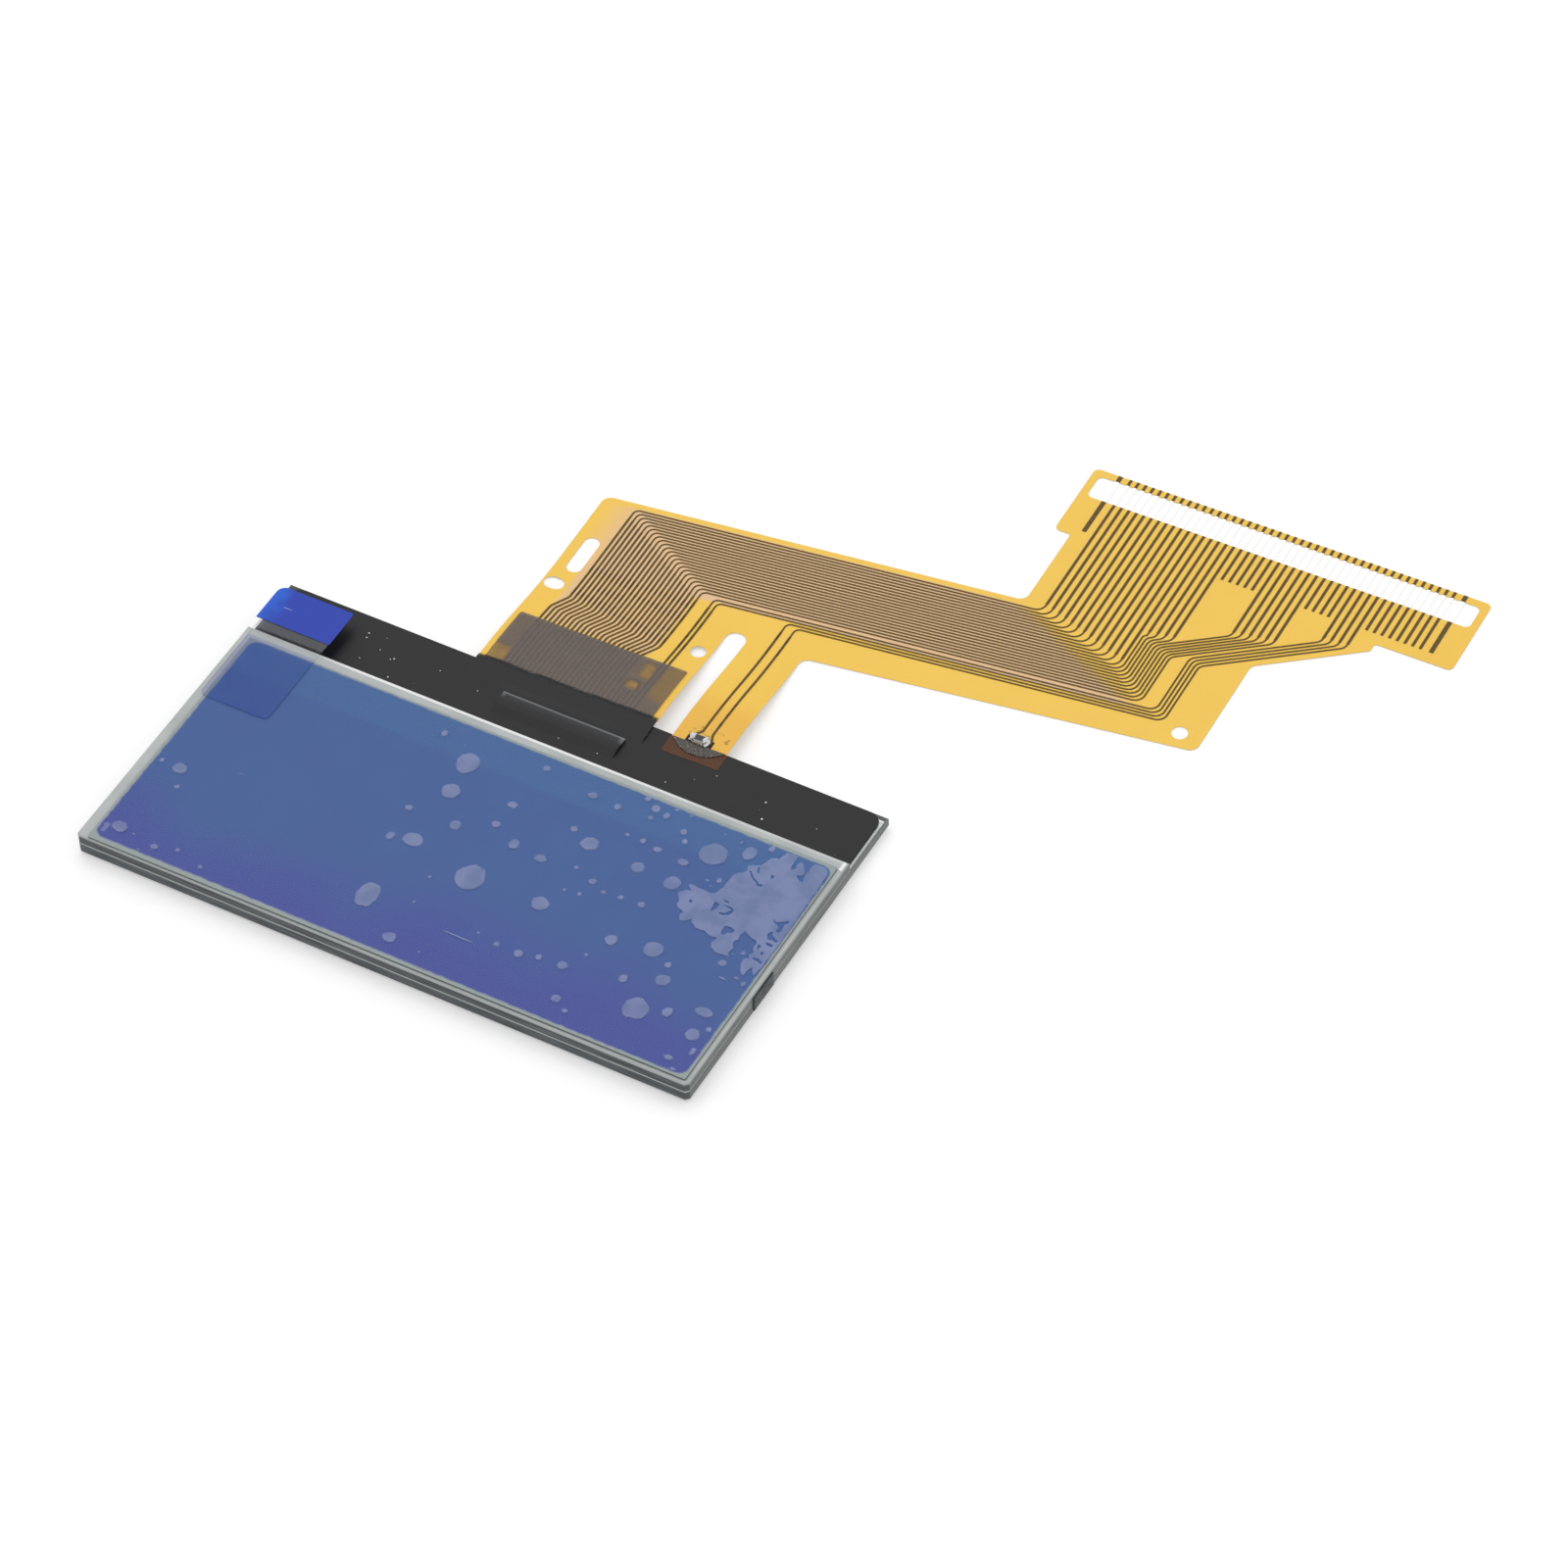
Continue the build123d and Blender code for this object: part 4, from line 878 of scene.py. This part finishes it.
# Each blister: its middle and its half widths along X and along Y.
BLISTERS = [
    (-8.7, 7.8, .42, .5), (-6.2, 7.4, .12, .12), (-4.8, 5.5, 1.15, 1.4), (-4.4, 1.8, 1.05, 1.0),
    (-6.8, -1.8, .5, .45), (-1.8, -1.7, .7, .67), (-6.5, -5.6, .5, .6), (-4.4, -5.05, 1.08, .9),
    (-28.45, -7.5, .8, .73), (-30.5, -7.4, .33, .37), (-27.4, -9.6, .37, .37), (-.6, -8.3, .26, .26),
    (-4.6, -12.8, 1.2, 1.62), (-.3, -11.6, .26, .26), (-29.45, -16.3, .9, .75), (-27.8, -16.5, .2, .2),
    (-25.3, -16.95, .53, .42), (-23.1, -16.3, .32, .32), (-20.1, -17.1, .37, .32),
    (-.1, -16.3, .75, .7), (-26.4, -17.9, .2, .2), (2.1, 8.4, .5, .47), (7.6, 7.45, .63, .47),
    (10.4, 7.3, .47, .47), (12.4, 9.5, .42, .42), (13.3, 9.9, .25, .25), (13.7, 8.7, .55, .55),
    (15.0, 8.4, .4, .5), (13.8, 7.5, .35, .35), (15.5, 9.5, .3, .3), (17.1, 9.5, .3, .3),
    (17.4, 7.4, .45, .45), (18.1, 6.4, .4, .4), (21.2, 6.25, 1.45, 1.45), (24.15, 7.9, .75, .95),
    (25.7, 9.35, .4, .5), (14.6, 4.7, .42, .42), (12.95, 4.7, .33, .33), (16.3, 4.4, .5, .45),
    (19.2, 4.1, .65, .53), (1.6, 2.95, .6, .5), (8.2, 3.0, .47, .42), (10.4, 2.1, .95, .92),
    (15.8, 1.6, .8, .72), (19.6, 1.4, .87, .95), (23.3, 3.7, .35, .4), (22.3, 3.2, .28, .2),
    (1.45, .16, .53, .5), (4.2, -1.2, .63, .7), (7.3, -1.6, .7, .55), (10.8, -1.0, .33, .33),
    (13.0, -1.8, .5, .45), (14.55, -2.5, .33, .33), (16.3, -2.3, .4, .4), (18.4, -2.2, .48, .48),
    (11.2, -3.9, .26, .26), (12.7, -3.7, .32, .32), (2.75, -6.6, 1.55, 1.65), (10.1, -6.4, .97, .9),
    (18.1, -7.2, .68, .72), (22.1, -6.4, 1.05, 1.0), (24.2, -7.4, .45, .45), (24.7, -9.2, .8, .78),
    (21.4, -10.7, .5, .58), (16.95, -9.8, .28, .28), (15.7, -11.9, .6, .58), (13.3, -12.05, .42, .42),
    (11.4, -12.55, .52, .52), (9.05, -12.5, .42, .37), (6.9, -12.1, .27, .22), (24.2, -13.3, 1.37, 1.32),
    (26.95, -12.3, .55, .7), (29.9, -10.8, .95, .65), (30.3, -13.6, .78, .82), (31.3, -12.4, .4, .4),
    (17.2, -15.6, .58, .55), (18.6, -16.5, .4, .35), (29.7, -16.9, .6, .4), (30.7, -17.9, .4, .25),
    (3.2, -16.6, .2, .2), (28.5, -4.9, .5, .5), (29.6, -3.0, .38, .35), (28.3, -3.85, .35, .25),
    (30.5, -5.9, .35, .25), (31.4, -6.2, .35, .4), (29.4, -6.5, .5, .18), (22.9, 2.75, .13, .15),
    (22.8, 8.7, .2, .3), (21.0, 8.9, .15, .15), (28.8, -3.55, .15, .15), (31.3, -15.3, .35, .6),
]
SCRATCHES = [(5.6, -13.35, 1.7, .14), (-23.0, -5.4, .5, .07), (-8.6, 9.0, .3, .05)]
BLISTER_RIM = 0.2
BLISTER_POINTS = 48
BLISTER_WOBBLE = 0.12
WOBBLE_CIRCLE = 2
# The waves of an outline per millimetre, broad and fine, and where in the noise each is drawn.
BROAD_WAVES = 0.7
BROAD_DRAW = 0.5
FINE_WAVES = 2.6
FINE_DRAW = 4.5
FINE_SHARE = 0.6


def uneven(x, y):
    """how far an outline strays from its smooth course at a place, about minus one to one"""
    broad = noise((BROAD_WAVES * x, BROAD_WAVES * y, BROAD_DRAW))
    fine = noise((FINE_WAVES * x, FINE_WAVES * y, FINE_DRAW))
    return broad + FINE_SHARE * fine


def blister(shape, x, y, across, along):
    """a flat topped blister with an uneven outline and a sloping rim, closed underneath"""
    rings = []
    for inset, height in ((0.0, 0.0), (BLISTER_RIM, AIR_RISE)):
        ring = []
        for step in range(BLISTER_POINTS):
            angle = 2 * pi * step / BLISTER_POINTS
            round_x, round_y = cos(angle), sin(angle)
            stray = uneven(x + WOBBLE_CIRCLE * round_x, y + WOBBLE_CIRCLE * round_y)
            stray = 1 + BLISTER_WOBBLE * stray
            # The flat top of a narrow one keeps a quarter of its width.
            wide = max(across * stray - inset, across / 4)
            deep = max(along * stray - inset, along / 4)
            place = (x + wide * round_x, y + deep * round_y, AIR_FLOOR + height)
            ring.append(shape.verts.new([c * MM for c in place]))
        rings.append(ring)
    outer, inner = rings
    for step in range(BLISTER_POINTS):
        after = (step + 1) % BLISTER_POINTS
        shape.faces.new((outer[step], outer[after], inner[after], inner[step]))
    shape.faces.new(inner)
    shape.faces.new(list(reversed(outer)))


air = trapped_air()
shape = bmesh.new()
for x, y, across, along in BLISTERS + SCRATCHES:
    blister(shape, x, y, across, along)
add_piece("film_blisters", shape, air, False)

# The large loose place of the film at the rear right: its outline, and the places inside it where
# the film still holds.
LOOSE_OUTLINE = [
    (27.1, 9.6), (28.3, 9.65), (28.35, 9.0), (28.3, 8.3), (28.5, 7.9), (28.75, 8.2), (28.65, 8.7),
    (28.8, 9.1), (29.1, 9.15), (29.5, 8.6), (29.9, 8.0), (29.75, 7.75), (29.3, 7.6), (29.45, 7.3),
    (29.9, 7.05), (30.15, 7.2), (30.05, 7.9), (30.05, 9.3), (30.2, 9.6), (31.2, 9.6), (31.7, 9.2),
    (31.85, 8.5), (31.9, 4.0), (31.95, 0.0), (31.9, -4.0), (31.8, -4.9), (31.4, -4.6), (31.15, -4.0),
    (30.95, -4.6), (30.9, -5.4), (30.4, -5.0), (30.1, -4.4), (29.95, -3.6), (30.35, -3.25),
    (30.1, -2.9), (30.4, -2.5), (30.1, -2.1), (30.15, -1.5), (29.9, -1.1), (29.4, -1.05),
    (28.9, -.8), (28.4, -.6), (28.3, -1.2), (28.35, -1.8), (28.1, -2.3), (28.5, -2.9), (28.4, -3.5),
    (27.9, -4.0), (27.2, -4.05), (26.6, -3.7), (26.4, -3.1), (26.6, -2.55), (26.25, -2.4),
    (26.0, -2.6), (25.5, -2.5), (25.2, -2.25), (24.7, -2.3), (24.2, -2.4), (23.9, -2.1),
    (23.5, -1.9), (23.3, -1.4), (23.1, -1.9), (22.7, -2.2), (22.3, -2.1), (22.1, -1.6), (22.3, -1.2),
    (22.0, -1.0), (21.5, -.9), (21.2, -.6), (21.2, -.1), (20.9, .3), (20.7, .6), (20.8, 1.0),
    (21.1, 1.3), (21.6, 1.5), (21.3, 1.7), (21.05, 1.9), (21.1, 2.1), (21.6, 2.1), (22.2, 2.0),
    (22.7, 2.0), (23.2, 2.0), (23.6, 2.2), (23.9, 2.5), (24.05, 3.2), (24.0, 4.0), (24.1, 4.6),
    (24.3, 5.1), (24.7, 5.6), (25.0, 5.95), (24.75, 6.4), (25.0, 6.85), (25.5, 6.95), (25.8, 7.1),
    (26.0, 7.6), (26.1, 8.1), (26.4, 8.5), (26.9, 8.6), (27.05, 9.1),
]
HELD_PLACES = [
    [(25.2, 5.95), (25.6, 5.55), (26.0, 5.2), (26.4, 5.05), (26.6, 4.75), (26.95, 4.75), (27.15, 4.95),
     (27.05, 5.15), (26.75, 5.0), (26.4, 5.25), (26.0, 5.45), (25.6, 5.8), (25.3, 6.1)],
    [(25.65, 6.8), (25.8, 6.4), (25.95, 6.1), (26.1, 6.25), (25.95, 6.6), (25.8, 6.9)],
    [(27.3, 6.5), (27.6, 6.45), (27.6, 6.1), (27.4, 6.0), (27.3, 6.2)],
    [(24.3, 1.25), (24.75, 1.2), (24.85, .7), (24.6, .2), (24.3, .15), (24.3, .7)],
    [(25.0, 1.3), (25.6, 1.4), (26.1, 1.3), (26.3, .9), (26.1, .4), (25.7, .15), (25.2, .1),
     (25.4, .35), (25.7, .5), (25.9, .8), (26.0, 1.1), (25.5, 1.2)],
    [(24.85, 1.9), (25.35, 1.85), (25.45, 1.7), (24.95, 1.7)],
    [(22.1, .45), (22.35, .4), (22.3, .15), (22.05, .15)],
    [(26.5, -.9), (27.1, -.8), (27.6, -1.0), (27.5, -1.4), (27.1, -1.6), (26.85, -2.0), (26.6, -1.9),
     (26.5, -1.4)],
    [(30.0, 1.95), (30.5, 1.6), (30.9, 2.0), (31.4, 2.3), (31.55, 2.1), (31.2, 1.8), (31.3, 1.2),
     (31.4, .9), (31.2, .6), (30.9, .7), (31.0, 1.1), (30.7, 1.4), (30.3, 1.5)],
    [(30.5, .4), (30.8, .5), (30.9, .1), (31.3, -.1), (31.7, -.2), (31.5, -.5), (31.1, -.4),
     (30.7, -.5), (30.5, -.1)],
    [(30.8, -.9), (31.5, -.85), (31.5, -1.15), (31.0, -1.2)],
    [(30.35, -1.5), (30.65, -1.5), (30.6, -1.9), (30.4, -2.0)],
    [(31.0, -2.0), (31.3, -2.1), (31.2, -2.5), (30.95, -2.3)],
    [(30.6, -2.95), (31.2, -2.95), (31.65, -3.15), (31.6, -3.4), (31.2, -3.25), (30.7, -3.2)],
]
OUTLINE_STEP = 0.12
OUTLINE_STRAY = 0.1
OUTLINE_WAVES = 2
LOOSE_RIM = 0.05
WELD = 0.001


def torn(points):
    """a closed outline in short steps that strays a little to both sides, as a torn edge does"""
    edge = []
    for (x0, y0), (x1, y1) in zip(points, points[1:] + points[:1]):
        run = Vector((x1 - x0, y1 - y0))
        steps = max(1, round(run.length / OUTLINE_STEP))
        for step in range(steps):
            x, y = x0 + run.x * step / steps, y0 + run.y * step / steps
            stray = OUTLINE_STRAY * uneven(OUTLINE_WAVES * x, OUTLINE_WAVES * y)
            edge.append((x + stray, y - stray))
    return edge


def loose_film():
    """the loose place as a thin raised sheet with sloping rims and holes where the film holds"""
    shape = bmesh.new()
    edges = []
    for loop in [LOOSE_OUTLINE] + HELD_PLACES:
        ring = [shape.verts.new((x * MM, y * MM, AIR_FLOOR * MM)) for x, y in torn(loop)]
        edges += [shape.edges.new(pair) for pair in zip(ring, ring[1:] + ring[:1])]
    filled = bmesh.ops.triangle_fill(shape, edges=edges, use_beauty=True)
    sheet = [face for face in filled["geom"] if isinstance(face, bmesh.types.BMFace)]
    under = bmesh.ops.duplicate(shape, geom=sheet)["geom"]
    under = [face for face in under if isinstance(face, bmesh.types.BMFace)]
    rims = set(bmesh.ops.inset_region(
        shape, faces=sheet, thickness=LOOSE_RIM * MM, use_even_offset=True)["faces"])
    rim_verts = {vert for face in rims for vert in face.verts}
    raised = {vert for face in sheet for vert in face.verts}
    for vert in raised:
        vert.co.z += AIR_RISE * MM
    low = (rim_verts - raised) | {vert for face in under for vert in face.verts}
    bmesh.ops.remove_doubles(shape, verts=list(low), dist=WELD * MM)
    return shape


add_piece("loose_film_place", loose_film(), air, False)


# Specks of dried glue and dust on the ledge: the middle and the radius of each.
SPECKS = [
    (22.4, 13.2, .11), (21.7, 15.2, .09), (4.6, 13.3, .06), (12.1, 13.1, .06), (2.2, 14.8, .05),
    (-22.6, 16.7, .08), (-22.5, 16.1, .07), (-20.5, 15.3, .06), (-18.7, 14.9, .08),
    (-19.0, 14.7, .06), (-18.0, 12.6, .08), (-9.5, 18.3, .05), (-9.5, 15.0, .06), (-7.6, 18.3, .07),
    (-1.0, 17.7, .06), (-1.7, 18.3, .05), (-3.9, 16.9, .06), (-3.8, 17.4, .05), (0.4, 13.3, .05),
    (7.0, 17.5, .05), (-21.7, 13.5, .05), (-14.0, 15.6, .05), (16.0, 16.0, .05), (27.5, 14.5, .05),
]
COAT_GROUND = LEDGE_HIGH.z + 0.03
SPECK_ROUGH = 0.35
SPECK_FLAT = 0.5
SPECK_LIFT = 0.4


def speck(shape, x, y, size):
    """one small rough grain lying on the coating"""
    grain = bmesh.ops.create_icosphere(shape, subdivisions=2, radius=size * MM)["verts"]
    floor_z = COAT_GROUND * MM
    for vert in grain:
        push = 1 + SPECK_ROUGH * noise(vert.co / (size * MM) + Vector((x, y, 0)))
        vert.co = vert.co * push
        vert.co.z = vert.co.z * SPECK_FLAT + floor_z + SPECK_LIFT * size * MM
        vert.co.x += x * MM
        vert.co.y += y * MM


shape = bmesh.new()
for x, y, size in SPECKS:
    speck(shape, x, y, size)
dried_glue = cured_drop("dried_white_glue", "F2F2F0", "DADAD6", 0.1, 0.5)
add_piece("glue_specks", shape, dried_glue, True)


# The floor, the room's light and the lamp. Rays that see the floor or the room straight, in a
# mirror or through glass find them white. The floor's size is in metres, its drop in millimetres.
FLOOR_SIZE = 4.0
FLOOR_DROP = 0.05
FLOOR_GLOW = 0.36
WORLD_LIGHT = 0.86


def seen(tree):
    """one for a ray that looks straight, in a mirror or through glass, nothing for the others"""
    ray = put(tree, "LightPath", {})
    straight, mirrored = ray.outputs["Is Camera Ray"], ray.outputs["Is Glossy Ray"]
    looks = put(tree, "Math", {0: straight, 1: mirrored}, operation="MAXIMUM")
    through = ray.outputs["Is Transmission Ray"]
    return put(tree, "Math", {0: looks, 1: through}, operation="MAXIMUM")


def pale_table():
    material, tree, shader = start("pale_table")[:3]
    glow = put(tree, "Math", {0: seen(tree), 1: FLOOR_GLOW}, operation="MULTIPLY")
    fill(tree, shader, {
        "Base Color": linear("D8D8D8"), "Roughness": 0.9, "Specular IOR Level": 0.0,
        "Emission Color": linear("FFFFFF"), "Emission Strength": glow,
    })
    return material


half = FLOOR_SIZE / 2
floor_mesh = bpy.data.meshes.new("floor")
floor_mesh.from_pydata(
    [(-half, -half, 0), (half, -half, 0), (half, half, 0), (-half, half, 0)], [], [(0, 1, 2, 3)])
floor_mesh.materials.append(pale_table())
floor = bpy.data.objects.new("floor", floor_mesh)
floor.location.z = -FLOOR_DROP * MM
bpy.context.scene.collection.objects.link(floor)

world = bpy.data.worlds.new("soft_room")
bpy.context.scene.world = world
world.use_nodes = True
tree = world.node_tree
strength = put(tree, "Math", {0: seen(tree), 1: WORLD_LIGHT}, operation="MAXIMUM")
fill(tree, tree.nodes["Background"], {"Color": linear("FFFFFF"), "Strength": strength})

# The softbox's place, aim and width are in metres.
SOFTBOX_PLACE = (-0.25, 0.30, 0.75)
SOFTBOX_AIM = (0.01, 0.02, 0.0)
SOFTBOX_SIZE = 0.6
SOFTBOX_WATTS = 1.4
lamp = bpy.data.lights.new("overhead_softbox", "AREA")
lamp.shape = "SQUARE"
lamp.size = SOFTBOX_SIZE
lamp.energy = SOFTBOX_WATTS
softbox = bpy.data.objects.new("overhead_softbox", lamp)
bpy.context.scene.collection.objects.link(softbox)
softbox.location = SOFTBOX_PLACE
aim = Vector(SOFTBOX_AIM) - Vector(SOFTBOX_PLACE)
softbox.rotation_euler = aim.to_track_quat("-Z", "Y").to_euler()

# The camera, at the picture's angle.
turn, height, tilt = radians(CAMERA_TURN), radians(CAMERA_HEIGHT), radians(CAMERA_TILT)
back = Vector((cos(height) * cos(turn), cos(height) * sin(turn), sin(height)))
level = Vector((-sin(turn), cos(turn), 0))
rise = back.cross(level)
right = level * cos(tilt) + rise * sin(tilt)
up = rise * cos(tilt) - level * sin(tilt)
offset = right * CAMERA_RIGHT + up * CAMERA_UP + back * CAMERA_DISTANCE
camera_data = bpy.data.cameras.new("camera")
camera_data.sensor_width = PICTURE_WIDTH
camera_data.lens = FOCAL_LENGTH
camera_data.clip_start = NEAR_CLIP
camera = bpy.data.objects.new("camera", camera_data)
bpy.context.scene.collection.objects.link(camera)
axes = Matrix((right, up, back)).transposed().to_4x4()
camera.matrix_world = Matrix.Translation((Vector(CAMERA_ANCHOR) + offset) * MM) @ axes
bpy.context.scene.camera = camera
bpy.context.scene.view_settings.view_transform = "Standard"
